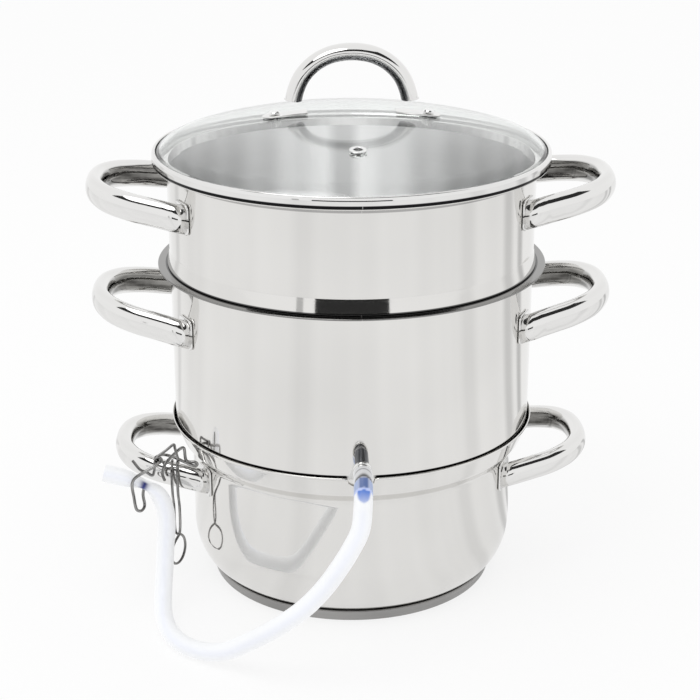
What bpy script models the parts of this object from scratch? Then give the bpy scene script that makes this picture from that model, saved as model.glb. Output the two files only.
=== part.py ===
"""Steam juicer: a water pan, a juice kettle with its steam chimney and outlet, a perforated fruit
basket and a glass lid, stacked on one axis. Metres, +Z up. The origin is the centre of the base
disc's underside, the outlet points to -Y and the side handles lie along X."""

from math import asin, atan2, cos, pi, radians, sin, sqrt

import bmesh
import bpy
from mathutils import Matrix, Vector

# Common sizes
GAP = 0.0003
SHEET = 0.0008
OVERRUN = 0.004
MERGE = 0.00001
TURN_STEPS = 40
SMALL_STEPS = 16
SCREW_STEPS = 12
PAD_STEPS = 96

# Base disc under the water pan
BASE_R = 0.1070
BASE_TAPER = 0.0025
BASE_H = 0.0072
BASE_EDGE = 0.0010

# Water pan
PAN_R = 0.1190
PAN_CORNER_WIDE = 0.0200
PAN_CORNER_HIGH = 0.0335
PAN_WALL_H = 0.0925
PAN_SHOULDER_OUT = 0.0076
PAN_SHOULDER_H = 0.0086
PAN_COLLAR_OUT = 0.0060
PAN_COLLAR_H = 0.0146
PAN_LIP = 0.0012
NOTCH_W = 0.0190
NOTCH_DEPTH = 0.0075

# Juice kettle
KETTLE_RIM_CLEARANCE = 0.0010
KETTLE_SINK = 0.0114
KETTLE_CORNER = 0.0060
KETTLE_FLOOR_RISE = 0.0060
KETTLE_H = 0.1333
KETTLE_FLANGE_OUT = 0.0088
FLANGE_T = 0.0012
FLANGE_FILLET = 0.0015

# Steam chimney on the kettle floor
CHIMNEY_FOOT_R = 0.0450
CHIMNEY_TOP_R = 0.0220
CHIMNEY_FLANGE = 0.0080
CHIMNEY_HEADROOM = 0.0110
CHIMNEY_BEAD = 0.0016

# Juice outlet
OUTLET_HEIGHT = 0.0340
OUTLET_SLOPE = radians(16)
OUTLET_R = 0.00465
OUTLET_BORE_R = 0.0035
OUTLET_INSIDE = 0.0040
FERRULE_STANDOFF = 0.0145
FERRULE_R = 0.00645
FERRULE_L = 0.0045
FERRULE_EDGE = 0.0008
OUTLET_IN_HOSE = 0.0065

# Fruit basket
BASKET_WALL_STEP = 0.0003
BASKET_NEST_CLEARANCE = 0.0037
BASKET_NEST_DEPTH = 0.0330
BASKET_CORNER = 0.0080
BASKET_SKIRT_H = 0.0109
BASKET_SKIRT_OUT = 0.0019
BASKET_SKIRT_FOLD = 0.0012
BASKET_BODY_H = 0.0629
BASKET_FLANGE_OUT = 0.0092
BASKET_HOLE_R = 0.0035
BASKET_HOLE_PITCH = 0.0200
BASKET_HOLE_RINGS = 4

# Lid: steel band, glass dome, vent
BAND_STEP = 0.0102
BAND_H = 0.0070
BAND_T = 0.0006
BAND_CURL = 0.0026
SPIGOT_CLEARANCE = 0.0010
SPIGOT_DEPTH = 0.0060
GLASS_T = 0.0035
GLASS_SPHERE_R = 0.4510
GLASS_SHOULDER_IN = 0.0140
GLASS_SHOULDER_R = 0.0270
GLASS_INNER_SHARE = 0.8
GLASS_SPANS = 5
VENT_OFFSET = 0.0850
VENT_R = 0.0060
VENT_NECK_R = 0.0040
VENT_BORE_R = 0.0027
VENT_RIM_T = 0.0011

# Lid handle with its tabs, screws, washers and nuts
ARCH_HALF = 0.0412
ARCH_H = 0.0418
ARCH_THICK = 0.0120
ARCH_DEEP = 0.0165
ARCH_HALF_SHARES = (1.0, 1.0, 0.955, 0.835, 0.63, 0.385, 0.165)
ARCH_RISE_SHARES = (-0.10, 0.10, 0.34, 0.60, 0.81, 0.94, 0.99)
TAB_OUTER = 0.0630
TAB_INNER = 0.0310
TAB_W = 0.0140
TAB_T = 0.0012
SCREW_AT = 0.0540
SCREW_R = 0.0020
SCREW_HEAD_R = 0.0040
SCREW_HEAD_H = 0.0022
WASHER_R = 0.0060
WASHER_T = 0.0010
NUT_R = 0.0044
NUT_H = 0.0032
SCREW_END = 0.0010

# Side handles and their pads
HANDLE_ROOT = 0.0060
HANDLE_OUT = 0.0505
HANDLE_W = 0.0130
HANDLE_H = 0.0170
HANDLE_REACH_SHARES = (-0.35, 0.0, 0.30, 0.545, 0.80, 0.94, 1.0)
HANDLE_SPREAD_SHARES = (1.02, 1.0, 0.925, 0.755, 0.46, 0.22, 0.0)
PAD_W = 0.0210
PAD_H = 0.0220
PAD_T = 0.0013
PAD_CORNER = 0.0040
BASKET_HANDLE_SPAN = 0.1160
BASKET_HANDLE_DROP = 0.0254
BASKET_HANDLE_RISE = 0.0060
KETTLE_HANDLE_SPAN = 0.1140
KETTLE_HANDLE_DROP = 0.0353
KETTLE_HANDLE_RISE = 0.0090
PAN_HANDLE_SPAN = 0.1000
PAN_HANDLE_DROP = 0.0110
PAN_HANDLE_RISE = 0.0070

# Juice hose: its route runs from the ferrule down to the worktop and up again to the clamp
HOSE_D = 0.0127
HOSE_BORE_R = 0.0042
HOSE_MOUTH = 0.0150
HOSE_STRAIGHT = 0.0040
HOSE_POINT_SPACING = 0.0090
HOSE_ROUTE = (
    (0.0000, -0.1560, 0.1335),
    (-0.0003, -0.1632, 0.1264),
    (-0.0009, -0.1690, 0.1185),
    (-0.0030, -0.1765, 0.1075),
    (-0.0096, -0.1830, 0.0965),
    (-0.0182, -0.1880, 0.0847),
    (-0.0281, -0.1908, 0.0720),
    (-0.0413, -0.1905, 0.0576),
    (-0.0605, -0.1850, 0.0405),
    (-0.0790, -0.1745, 0.0245),
    (-0.0935, -0.1655, 0.0135),
    (-0.1080, -0.1560, 0.0080),
    (-0.1215, -0.1450, 0.0066),
    (-0.1320, -0.1300, 0.0074),
    (-0.1378, -0.1120, 0.0110),
    (-0.1392, -0.0950, 0.0190),
    (-0.1385, -0.0820, 0.0330),
    (-0.1374, -0.0750, 0.0500),
    (-0.1362, -0.0735, 0.0660),
    (-0.1375, -0.0735, 0.0790),
    (-0.1424, -0.0732, 0.0895),
    (-0.1505, -0.0729, 0.0957),
    (-0.1600, -0.0724, 0.0992),
    (-0.1695, -0.0718, 0.1021),
    (-0.1790, -0.0713, 0.1045),
)

# Hose clamp of sprung wire: its bar lies on the pan's left handle, its jaws nip the hose
CLAMP_WIRE_R = 0.0011
CLAMP_AT = 21
CLAMP_LOOP_W = 0.0082
CLAMP_STRADDLE = 0.0083
CLAMP_LOOP_DROP = 0.0199
CLAMP_LOOP_SHARES = (
    (0.06, 1.05, -0.15),
    (0.29, 1.05, -0.58),
    (0.17, 0.70, -0.96),
    (0.37, -0.13, -1.00),
    (0.73, -0.86, -0.81),
    (0.91, -1.00, -0.28),
    (1.00, -1.00, 0.22),
    (0.75, -0.98, 0.43),
    (-0.32, -0.62, 0.66),
)
CLAMP_PIN_OUT = 0.0097
CLAMP_PIN_UP = 0.0159
CLAMP_PIN_FRONT = 0.0011
CLAMP_PIN_L = 0.0140
CLAMP_BAR_FAR_SHARE = 0.40
CLAMP_BAR_NEAR_SHARE = 0.01
CLAMP_FOLD_SHARE = 0.13
CLAMP_BAR_FOLD = 0.0028
CLAMP_EAR_OUT = 0.0160
CLAMP_EAR_FRONT = 0.0085
CLAMP_EAR_H = 0.0120
CLAMP_EAR_SHARES = (
    (0.13, 0.40, 1.00),
    (0.60, 0.65, 0.58),
    (0.94, 0.92, 0.08),
    (1.08, 1.00, -0.50),
    (1.00, 0.90, -0.95),
)
JAW_WIRE_R = 0.0010
JAW_REACH = 0.0078
JAW_LIFT = 0.0184
JAW_SHARES = (
    (-1.00, 0.0, 1.000),
    (-0.33, 0.0, 0.615),
    (0.15, 0.0, 0.525),
    (0.72, 0.0, 0.375),
    (0.88, 0.4, 0.520),
)
JAW_LEVER_OUT = 0.0111
JAW_LEVER_UP = 0.0090
JAW_LEVER_FOLD = 0.0110
COIL_OFFSET = 0.0045
COIL_TURNS = 1.25
COIL_PITCH = 0.0028
COIL_POINTS = 12

# Wire hook hanging on the pan's left handle
HOOK_WIRE_R = 0.0010
HOOK_SHARE = 0.29
HOOK_LEG_SPACING = 0.0030
HOOK_CROSS_SPACING = 0.0026
HOOK_SIDE_CLEARANCE = 0.0025
HOOK_TIP_DROP = 0.0010
HOOK_BEND_DROP = 0.0270
HOOK_BEND_SHARES = ((-1.0, 0.19), (-0.80, 0.50), (-0.30, 0.78), (0.0, 1.0))
HOOK_SHANK_BACK = 0.0020
HOOK_NECK_Z = 0.0425
HOOK_NECK_H = 0.0050
HOOK_EYE_TURN = radians(60)
HOOK_EYE_W = 0.0218
HOOK_EYE_H = 0.0218
HOOK_EYE_Z = 0.0296
HOOK_EYE_POINTS = 12

# Heights of the stack, each piece standing on the one below
pan_floor_z = BASE_H + GAP
pan_shoulder_z = pan_floor_z + PAN_WALL_H
pan_crease_z = pan_shoulder_z + PAN_SHOULDER_H
pan_collar_z = pan_crease_z + PAN_COLLAR_H
pan_top_z = pan_collar_z + PAN_LIP

# Radii of the pan and of the kettle that seats in its collar
pan_crease_r = PAN_R + PAN_SHOULDER_OUT
pan_collar_r = pan_crease_r + PAN_COLLAR_OUT
collar_tilt = atan2(PAN_COLLAR_OUT, PAN_COLLAR_H)
kettle_r = pan_collar_r - SHEET / cos(collar_tilt) - KETTLE_RIM_CLEARANCE
kettle_seat_z = pan_top_z - KETTLE_SINK
kettle_floor_z = kettle_seat_z - KETTLE_CORNER
kettle_top_z = kettle_floor_z + KETTLE_H
chimney_z = kettle_floor_z + KETTLE_FLOOR_RISE + SHEET + GAP

# The basket stands with its skirt on the kettle's flange, the lid on the basket's flange
basket_skirt_z = kettle_top_z + GAP
basket_crease_z = basket_skirt_z + BASKET_SKIRT_H
basket_top_z = basket_crease_z + BASKET_BODY_H
basket_r = kettle_r + BASKET_WALL_STEP
nest_r = kettle_r - SHEET - BASKET_NEST_CLEARANCE
nest_floor_z = kettle_top_z - BASKET_NEST_DEPTH
band_z = basket_top_z + GAP
band_r = basket_r + BAND_STEP
glass_rim_r = band_r - BAND_T - 2 * GAP
glass_rim_z = band_z + BAND_T + GAP

pan_handle_z = pan_shoulder_z - PAN_HANDLE_DROP
kettle_handle_z = kettle_top_z - KETTLE_HANDLE_DROP
basket_handle_z = basket_top_z - BASKET_HANDLE_DROP


def material(name, colour, roughness, metallic, alpha=1.0):
    """A plain surface with the piece's colour, roughness and metallic value."""
    made = bpy.data.materials.new(name)
    made.use_nodes = True
    shader = made.node_tree.nodes["Principled BSDF"]
    shader.inputs["Base Color"].default_value = (*colour, 1.0)
    shader.inputs["Roughness"].default_value = roughness
    shader.inputs["Metallic"].default_value = metallic
    shader.inputs["Alpha"].default_value = alpha
    return made


def collection(name, hidden):
    """A new collection of the scene, hidden from the render where it holds cutters."""
    made = bpy.data.collections.new(name)
    made.hide_render = hidden
    bpy.context.scene.collection.children.link(made)
    return made


def clear_scene():
    """Removes the objects that the file starts with."""
    for old in list(bpy.data.objects):
        bpy.data.objects.remove(old, do_unlink=True)


clear_scene()
PARTS = collection("steam_juicer", hidden=False)
CUTTERS = collection("cutters", hidden=True)


def add(name, data, finish=None, parent=None):
    """A named object of the juicer, or a cutter where it has no finish."""
    made = bpy.data.objects.new(name, data)
    if finish is None:
        CUTTERS.objects.link(made)
        made.hide_render = True
        made.display_type = "WIRE"
        return made
    PARTS.objects.link(made)
    data.materials.append(finish)
    if parent:
        made.parent = parent
        made.matrix_parent_inverse = parent.matrix_world.inverted()
    return made


def joint_empty(name, place):
    """An empty on a joint's axis, the parent of the pieces that move with it."""
    made = bpy.data.objects.new(name, None)
    made.location = place
    made.empty_display_size = HANDLE_W
    PARTS.objects.link(made)
    bpy.context.view_layer.update()
    return made


def smooth(target):
    """Smooth shading that keeps the sharp edges."""
    target.data.shade_smooth()
    target.data.set_sharp_from_angle(angle=radians(35))


def arc(r, z, wide, high, start, end, count):
    """Points of an elliptic arc around (r, z), angles in degrees from +R towards +Z."""
    turns = [radians(start + (end - start) * step / (count - 1)) for step in range(count)]
    return [(r + wide * cos(turn), z + high * sin(turn)) for turn in turns]


def turned(name, profile, finish=None, ring=False, steps=TURN_STEPS, frame=None, parent=None):
    """A profile of (radius, height) points, outer side downwards, turned about its Z axis."""
    mesh = bpy.data.meshes.new(name)
    count = len(profile)
    edges = [(step, step + 1) for step in range(count - 1)]
    if ring:
        edges.append((count - 1, 0))
    mesh.from_pydata([(r, 0.0, z) for r, z in profile], edges, [])
    made = add(name, mesh, finish, parent)
    made.matrix_world = frame or Matrix.Identity(4)
    screw = made.modifiers.new("turn", "SCREW")
    screw.steps = steps
    screw.render_steps = steps
    screw.use_merge_vertices = True
    screw.merge_threshold = MERGE
    screw.use_smooth_shade = True
    return made


def evaluated_mesh(source):
    """The object with its modifiers and curve bevel as a plain mesh, caps welded on."""
    bpy.context.view_layer.update()
    graph = bpy.context.evaluated_depsgraph_get()
    mesh = bpy.data.meshes.new_from_object(source.evaluated_get(graph))
    work = bmesh.new()
    work.from_mesh(mesh)
    bmesh.ops.remove_doubles(work, verts=work.verts, dist=MERGE)
    bmesh.ops.recalc_face_normals(work, faces=work.faces)
    work.to_mesh(mesh)
    work.free()
    return mesh


def made_mesh(curve, finish=None, parent=None):
    """Replaces a curve object by its mesh, so that it can be cut."""
    name = curve.name
    mesh = evaluated_mesh(curve)
    frame = curve.matrix_world.copy()
    bpy.data.objects.remove(curve, do_unlink=True)
    mesh.materials.clear()
    made = add(name, mesh, finish, parent)
    made.matrix_world = frame
    return made


def cut(target, cutter, operation="DIFFERENCE"):
    """A Boolean of the target with one cutter."""
    step = target.modifiers.new(cutter.name, "BOOLEAN")
    step.operation = operation
    step.object = cutter
    step.solver = "EXACT"


def cylinder(name, radius, depth, frame, sides=SMALL_STEPS):
    """A cutter: a closed cylinder centred on the frame's origin, along its Z axis."""
    work = bmesh.new()
    bmesh.ops.create_cone(
        work, cap_ends=True, segments=sides, radius1=radius, radius2=radius, depth=depth
    )
    mesh = bpy.data.meshes.new(name)
    work.to_mesh(mesh)
    work.free()
    made = add(name, mesh)
    made.matrix_world = frame
    return made


def outline(name, points, thickness, finish=None, parent=None):
    """A flat closed outline in the XY plane, given its thickness to both sides."""
    data = bpy.data.curves.new(name, "CURVE")
    data.dimensions = "2D"
    data.fill_mode = "BOTH"
    data.extrude = thickness / 2
    line = data.splines.new("POLY")
    line.points.add(len(points) - 1)
    for point, (x, y) in zip(line.points, points):
        point.co = (x, y, 0.0, 1.0)
    line.use_cyclic_u = True
    return add(name, data, finish, parent)


def wire(name, points, radius, finish, parent=None, bevel=2):
    """A round wire or tube through the points, with filled ends."""
    data = bpy.data.curves.new(name, "CURVE")
    data.dimensions = "3D"
    data.bevel_depth = radius
    data.bevel_resolution = bevel
    data.use_fill_caps = True
    line = data.splines.new("POLY")
    line.points.add(len(points) - 1)
    for point, place in zip(line.points, points):
        point.co = (*place, 1.0)
    line.use_smooth = True
    return add(name, data, finish, parent)


def through(points, per_span):
    """Points of a smooth curve that passes through the given ones (centripetal Catmull-Rom)."""
    known = [Vector(point) for point in points]
    known = [2 * known[0] - known[1], *known, 2 * known[-1] - known[-2]]
    found = []
    for span in range(1, len(known) - 2):
        a, b, c, d = known[span - 1 : span + 3]
        ta = 0.0
        tb = ta + (b - a).length ** 0.5
        tc = tb + (c - b).length ** 0.5
        td = tc + (d - c).length ** 0.5
        for step in range(per_span):
            t = tb + (tc - tb) * step / per_span
            ab = a.lerp(b, (t - ta) / (tb - ta))
            bc = b.lerp(c, (t - tb) / (tc - tb))
            cd = c.lerp(d, (t - tc) / (td - tc))
            abc = ab.lerp(bc, (t - ta) / (tc - ta))
            bcd = bc.lerp(cd, (t - tb) / (td - tb))
            found.append(abc.lerp(bcd, (t - tb) / (tc - tb)))
    found.append(known[-2])
    return found


def respaced(points, spacing):
    """The same line with points at an even spacing."""
    lengths = [0.0]
    for first, second in zip(points, points[1:]):
        lengths.append(lengths[-1] + (second - first).length)
    count = max(2, round(lengths[-1] / spacing))
    found = []
    span = 0
    for step in range(count + 1):
        along = lengths[-1] * step / count
        while span < len(points) - 2 and lengths[span + 1] < along:
            span += 1
        share = (along - lengths[span]) / (lengths[span + 1] - lengths[span])
        found.append(points[span].lerp(points[span + 1], share))
    return found


STEEL = material("polished_steel", (0.78, 0.78, 0.77), 0.10, 1.0)
SATIN = material("satin_steel", (0.62, 0.62, 0.61), 0.30, 1.0)
CHROME = material("bright_steel", (0.85, 0.85, 0.85), 0.06, 1.0)
DARK_WIRE = material("dark_wire", (0.12, 0.12, 0.12), 0.35, 1.0)
DISC = material("base_alloy", (0.42, 0.42, 0.41), 0.42, 1.0)
GLASS = material("lid_glass", (0.86, 0.93, 0.90), 0.03, 0.0, alpha=0.35)
SILICONE = material("clear_silicone", (0.86, 0.88, 0.93), 0.35, 0.0, alpha=0.6)

# Body empties: kettle, basket and lid lift off along the stack's axis
kettle_lift = joint_empty("kettle_lift", (0.0, 0.0, kettle_seat_z))
basket_lift = joint_empty("basket_lift", (0.0, 0.0, basket_skirt_z))
lid_lift = joint_empty("lid_lift", (0.0, 0.0, band_z))


def build_base_disc():
    """Thick heat-spreading disc bonded under the pan, its edge tapering to the worktop."""
    low_r = BASE_R - BASE_TAPER
    profile = [
        (0.0, BASE_H),
        (BASE_R - BASE_EDGE, BASE_H),
        (BASE_R, BASE_H - BASE_EDGE),
        (low_r, BASE_EDGE),
        (low_r - BASE_EDGE, 0.0),
        (0.0, 0.0),
    ]
    return turned("pan_base_disc", profile, DISC)


def build_pan():
    """Water pan: rounded bottom corner, straight wall, shoulder and a conical collar with a lip."""
    wide = PAN_CORNER_WIDE
    high = PAN_CORNER_HIGH
    corner_z = pan_floor_z + high
    lean = SHEET / cos(collar_tilt)
    inner = [(0.0, pan_floor_z + SHEET)]
    inner += arc(PAN_R - wide, corner_z, wide - SHEET, high - SHEET, -90, 0, 6)
    inner += [
        (PAN_R - SHEET, pan_shoulder_z + SHEET / 2),
        (pan_crease_r - lean, pan_crease_z - GAP),
        (pan_collar_r - lean, pan_collar_z),
    ]
    rim = [
        (pan_collar_r, pan_top_z),
        (pan_collar_r + PAN_LIP / 2, pan_top_z - PAN_LIP / 4),
        (pan_collar_r + PAN_LIP / 2, pan_collar_z - PAN_LIP / 4),
    ]
    outer = [
        (pan_collar_r, pan_collar_z - PAN_LIP / 2),
        (pan_crease_r, pan_crease_z),
        (PAN_R, pan_shoulder_z),
    ]
    outer += arc(PAN_R - wide, corner_z, wide, high, 0, -90, 6)
    outer += [(0.0, pan_floor_z)]
    pan = turned("pan_shell", inner + rim + outer, STEEL)
    cut(pan, notch_cutter())
    return pan


def notch_cutter():
    """Round-bottomed notch in the collar, under the outlet."""
    half = NOTCH_W / 2
    low = pan_top_z - NOTCH_DEPTH
    turns = [radians(180 + 180 * step / 8) for step in range(9)]
    points = [(half * cos(turn), low + half * (1 + sin(turn))) for turn in turns]
    points += [(half, pan_top_z + OVERRUN + half), (-half, pan_top_z + OVERRUN + half)]
    made = outline("notch_cutter", points, PAN_R / 4)
    made.matrix_world = Matrix.Translation((0.0, -pan_collar_r, 0.0)) @ Matrix.Rotation(pi / 2, 4, "X")
    return made_mesh(made)


def flange(r, top_z, out):
    """Rim points of a pot: from its inner wall over the flat flange to its outer wall."""
    edge = FLANGE_T / 3
    return [
        (r - SHEET, top_z - FLANGE_FILLET),
        (r - SHEET + FLANGE_FILLET / 3, top_z - FLANGE_FILLET / 3),
        (r - SHEET + FLANGE_FILLET, top_z),
        (r + out - edge, top_z),
        (r + out, top_z - edge),
        (r + out, top_z - FLANGE_T + edge),
        (r + out - edge, top_z - FLANGE_T),
        (r + FLANGE_FILLET, top_z - FLANGE_T),
        (r, top_z - FLANGE_T - FLANGE_FILLET),
    ]


def outlet_frame(along):
    """Frame on the outlet's axis, that far outside the kettle wall, with Z pointing out."""
    root = Vector((0.0, -kettle_r, kettle_floor_z + OUTLET_HEIGHT))
    way = Vector((0.0, -cos(OUTLET_SLOPE), -sin(OUTLET_SLOPE)))
    turn = Matrix.Rotation(pi / 2 + OUTLET_SLOPE, 4, "X")
    return Matrix.Translation(root + way * along) @ turn


def build_kettle():
    """Juice kettle: cone seat in the pan's collar, raised floor round the steam hole, flat flange."""
    seat_lean = (SHEET + GAP) / cos(collar_tilt)
    slope = PAN_COLLAR_OUT / PAN_COLLAR_H
    seat_r = pan_crease_r + (kettle_seat_z - pan_crease_z) * slope - seat_lean
    seat_top_z = kettle_seat_z + (kettle_r - seat_r) / slope
    corner_r = seat_r - KETTLE_CORNER
    hole_r = CHIMNEY_FOOT_R - SHEET
    flat_r = CHIMNEY_FOOT_R + CHIMNEY_FLANGE + OVERRUN
    raised_z = kettle_floor_z + KETTLE_FLOOR_RISE
    inner = [(hole_r, raised_z + SHEET), (flat_r, raised_z + SHEET)]
    inner += arc(corner_r, kettle_seat_z, KETTLE_CORNER - SHEET, KETTLE_CORNER - SHEET, -90, 0, 4)
    inner += [(kettle_r - SHEET, seat_top_z)]
    outer = [(kettle_r, seat_top_z)]
    outer += arc(corner_r, kettle_seat_z, KETTLE_CORNER, KETTLE_CORNER, 0, -90, 4)
    outer += [(flat_r, raised_z), (hole_r, raised_z)]
    rim = flange(kettle_r, kettle_top_z, KETTLE_FLANGE_OUT)
    kettle = turned("kettle_shell", inner + rim + outer, STEEL, ring=True, parent=kettle_lift)
    hole = cylinder("outlet_hole_cutter", OUTLET_R + GAP, 2 * OUTLET_IN_HOSE, outlet_frame(0.0))
    cut(kettle, hole)
    return kettle


def build_chimney():
    """Cone that lets steam up from the pan, open at both ends, with a foot flange and a top bead."""
    top_z = nest_floor_z - CHIMNEY_HEADROOM
    bead = CHIMNEY_BEAD
    profile = [
        (CHIMNEY_TOP_R - SHEET, top_z),
        (CHIMNEY_TOP_R + bead / 4, top_z),
        (CHIMNEY_TOP_R + bead, top_z - bead / 2),
        (CHIMNEY_TOP_R + bead, top_z - bead),
        (CHIMNEY_TOP_R, top_z - 2 * bead),
        (CHIMNEY_FOOT_R, chimney_z + 2 * SHEET),
        (CHIMNEY_FOOT_R + SHEET, chimney_z + SHEET),
        (CHIMNEY_FOOT_R + CHIMNEY_FLANGE, chimney_z + SHEET),
        (CHIMNEY_FOOT_R + CHIMNEY_FLANGE, chimney_z),
        (CHIMNEY_FOOT_R - SHEET, chimney_z),
    ]
    return turned("steam_chimney", profile, STEEL, ring=True, parent=kettle_lift)


def build_outlet():
    """Sloping outlet pipe through the kettle wall, with the ferrule that the hose end butts."""
    start = -OUTLET_INSIDE - SHEET
    end = FERRULE_STANDOFF + FERRULE_L + GAP + OUTLET_IN_HOSE
    length = end - start
    profile = [
        (OUTLET_BORE_R, length),
        (OUTLET_R - SHEET / 4, length),
        (OUTLET_R, length - SHEET / 4),
        (OUTLET_R, 0.0),
        (OUTLET_BORE_R, 0.0),
    ]
    frame = outlet_frame(start)
    turned("outlet_pipe", profile, SATIN, ring=True, steps=SMALL_STEPS, frame=frame, parent=kettle_lift)
    edge = FERRULE_EDGE
    bore = OUTLET_R + GAP
    profile = [
        (bore, FERRULE_L),
        (FERRULE_R - edge, FERRULE_L),
        (FERRULE_R, FERRULE_L - edge),
        (FERRULE_R, edge),
        (FERRULE_R - edge, 0.0),
        (bore, 0.0),
    ]
    frame = outlet_frame(FERRULE_STANDOFF)
    turned("outlet_ferrule", profile, CHROME, ring=True, steps=SMALL_STEPS, frame=frame, parent=kettle_lift)


def build_basket():
    """Fruit basket: a skirt that stands on the kettle, a nested step and a perforated floor."""
    skirt_r = basket_r + BASKET_SKIRT_OUT
    fold_r = nest_r + SHEET + BASKET_SKIRT_FOLD
    corner_r = nest_r - BASKET_CORNER
    corner_z = nest_floor_z + BASKET_CORNER
    inner = [(0.0, nest_floor_z + SHEET)]
    inner += arc(corner_r, corner_z, BASKET_CORNER - SHEET, BASKET_CORNER - SHEET, -90, 0, 4)
    inner += [
        (nest_r - SHEET, basket_crease_z - SHEET),
        (basket_r - SHEET, basket_crease_z + SHEET),
    ]
    outer = [
        (basket_r, basket_crease_z),
        (skirt_r, basket_skirt_z),
        (skirt_r - SHEET, basket_skirt_z),
        (basket_r - SHEET, basket_crease_z - 2 * SHEET),
        (fold_r, basket_crease_z - 3 * SHEET),
        (nest_r, basket_crease_z - 4 * SHEET),
    ]
    outer += arc(corner_r, corner_z, BASKET_CORNER, BASKET_CORNER, 0, -90, 4)
    outer += [(0.0, nest_floor_z)]
    rim = flange(basket_r, basket_top_z, BASKET_FLANGE_OUT)
    basket = turned("basket_shell", inner + rim + outer, STEEL, parent=basket_lift)
    cut(basket, perforation_cutter())
    return basket


def perforation_cutter():
    """Pins for the floor's drain holes, in rings that each hold six more than the last."""
    work = bmesh.new()
    for ring in range(BASKET_HOLE_RINGS + 1):
        count = max(1, 6 * ring)
        for step in range(count):
            turn = 2 * pi * step / count
            place = Vector((cos(turn), sin(turn), 0.0)) * ring * BASKET_HOLE_PITCH
            place.z = nest_floor_z
            bmesh.ops.create_cone(
                work,
                cap_ends=True,
                segments=6,
                radius1=BASKET_HOLE_R,
                radius2=BASKET_HOLE_R,
                depth=2 * OVERRUN,
                matrix=Matrix.Translation(place),
            )
    mesh = bpy.data.meshes.new("perforation_cutter")
    work.to_mesh(mesh)
    work.free()
    return add("perforation_cutter", mesh)


# Outer surface of the glass: a shallow sphere whose edge turns down in a tighter shoulder
shoulder_r = glass_rim_r - GLASS_SHOULDER_IN
shoulder_turn = asin(shoulder_r / GLASS_SPHERE_R)
shoulder_centre_r = shoulder_r - GLASS_SHOULDER_R * sin(shoulder_turn)
rim_turn = asin((glass_rim_r - shoulder_centre_r) / GLASS_SHOULDER_R)
shoulder_drop = GLASS_SHOULDER_R * (cos(shoulder_turn) - cos(rim_turn))
glass_edge_z = glass_rim_z + GLASS_T
sphere_z = glass_edge_z + shoulder_drop - GLASS_SPHERE_R * cos(shoulder_turn)


def dome(r, depth=0.0):
    """Height of the glass sphere, that far below its outer surface, at a radius."""
    return sphere_z + sqrt((GLASS_SPHERE_R - depth) ** 2 - r * r)


def dome_frame(x, y, above):
    """Frame on the dome's normal over (x, y), its origin that far above the outer surface."""
    lift = Vector((x, y, dome(sqrt(x * x + y * y)) - sphere_z)) / GLASS_SPHERE_R
    turn = Vector((0.0, 0.0, 1.0)).rotation_difference(lift).to_matrix().to_4x4()
    centre = Vector((0.0, 0.0, sphere_z))
    return Matrix.Translation(centre + lift * (GLASS_SPHERE_R + above)) @ turn


def glass_line(depth, end, count):
    """Points of the glass surface at a depth below the outer one, from the apex to the rim."""
    points = []
    for step in range(GLASS_SPANS):
        turn = shoulder_turn * step / GLASS_SPANS
        points.append(((GLASS_SPHERE_R - depth) * sin(turn), sphere_z + (GLASS_SPHERE_R - depth) * cos(turn)))
    centre_z = sphere_z + (GLASS_SPHERE_R - GLASS_SHOULDER_R) * cos(shoulder_turn)
    for step in range(count):
        turn = shoulder_turn + (end - shoulder_turn) * step / (count - 1)
        tight = GLASS_SHOULDER_R - depth
        points.append((shoulder_centre_r + tight * sin(turn), centre_z + tight * cos(turn)))
    return points


def build_glass():
    """Domed lid glass with its vent hole and the two screw holes of the handle."""
    outer = glass_line(0.0, rim_turn, 4)
    inner = glass_line(GLASS_T, rim_turn * GLASS_INNER_SHARE, 3)
    outer.append((glass_rim_r, glass_rim_z))
    outer.append((inner[-1][0] + GLASS_T / 2, glass_rim_z))
    glass = turned("lid_glass", outer + inner[::-1], GLASS, parent=lid_lift)
    vent = cylinder("vent_hole_cutter", VENT_NECK_R + GAP, 4 * GLASS_T, dome_frame(0.0, -VENT_OFFSET, 0.0))
    cut(glass, vent)
    for side, word in ((-1, "left"), (1, "right")):
        frame = dome_frame(side * SCREW_AT, 0.0, 0.0)
        cut(glass, cylinder(f"screw_hole_cutter_{word}", SCREW_R + GAP, 4 * GLASS_T, frame, SCREW_STEPS))
    return glass


def build_band():
    """Steel band round the glass: it curls over the rim, sits on the basket and dips inside it."""
    spigot_r = basket_r - SHEET - SPIGOT_CLEARANCE
    top = band_z + BAND_H
    profile = [
        (band_r - BAND_CURL, top),
        (band_r - BAND_CURL / 3, top - BAND_CURL / 5),
        (band_r, top - BAND_CURL),
        (band_r, band_z + BAND_T / 2),
        (band_r - BAND_T / 2, band_z),
        (spigot_r + BAND_T / 2, band_z),
        (spigot_r, band_z - BAND_T / 2),
        (spigot_r, band_z - SPIGOT_DEPTH),
        (spigot_r - BAND_T, band_z - SPIGOT_DEPTH),
        (spigot_r - BAND_T, band_z + BAND_T),
        (band_r - BAND_T, band_z + BAND_T),
        (band_r - BAND_T, top - BAND_CURL - BAND_T),
    ]
    return turned("lid_rim_band", profile, CHROME, ring=True, parent=lid_lift)


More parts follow.
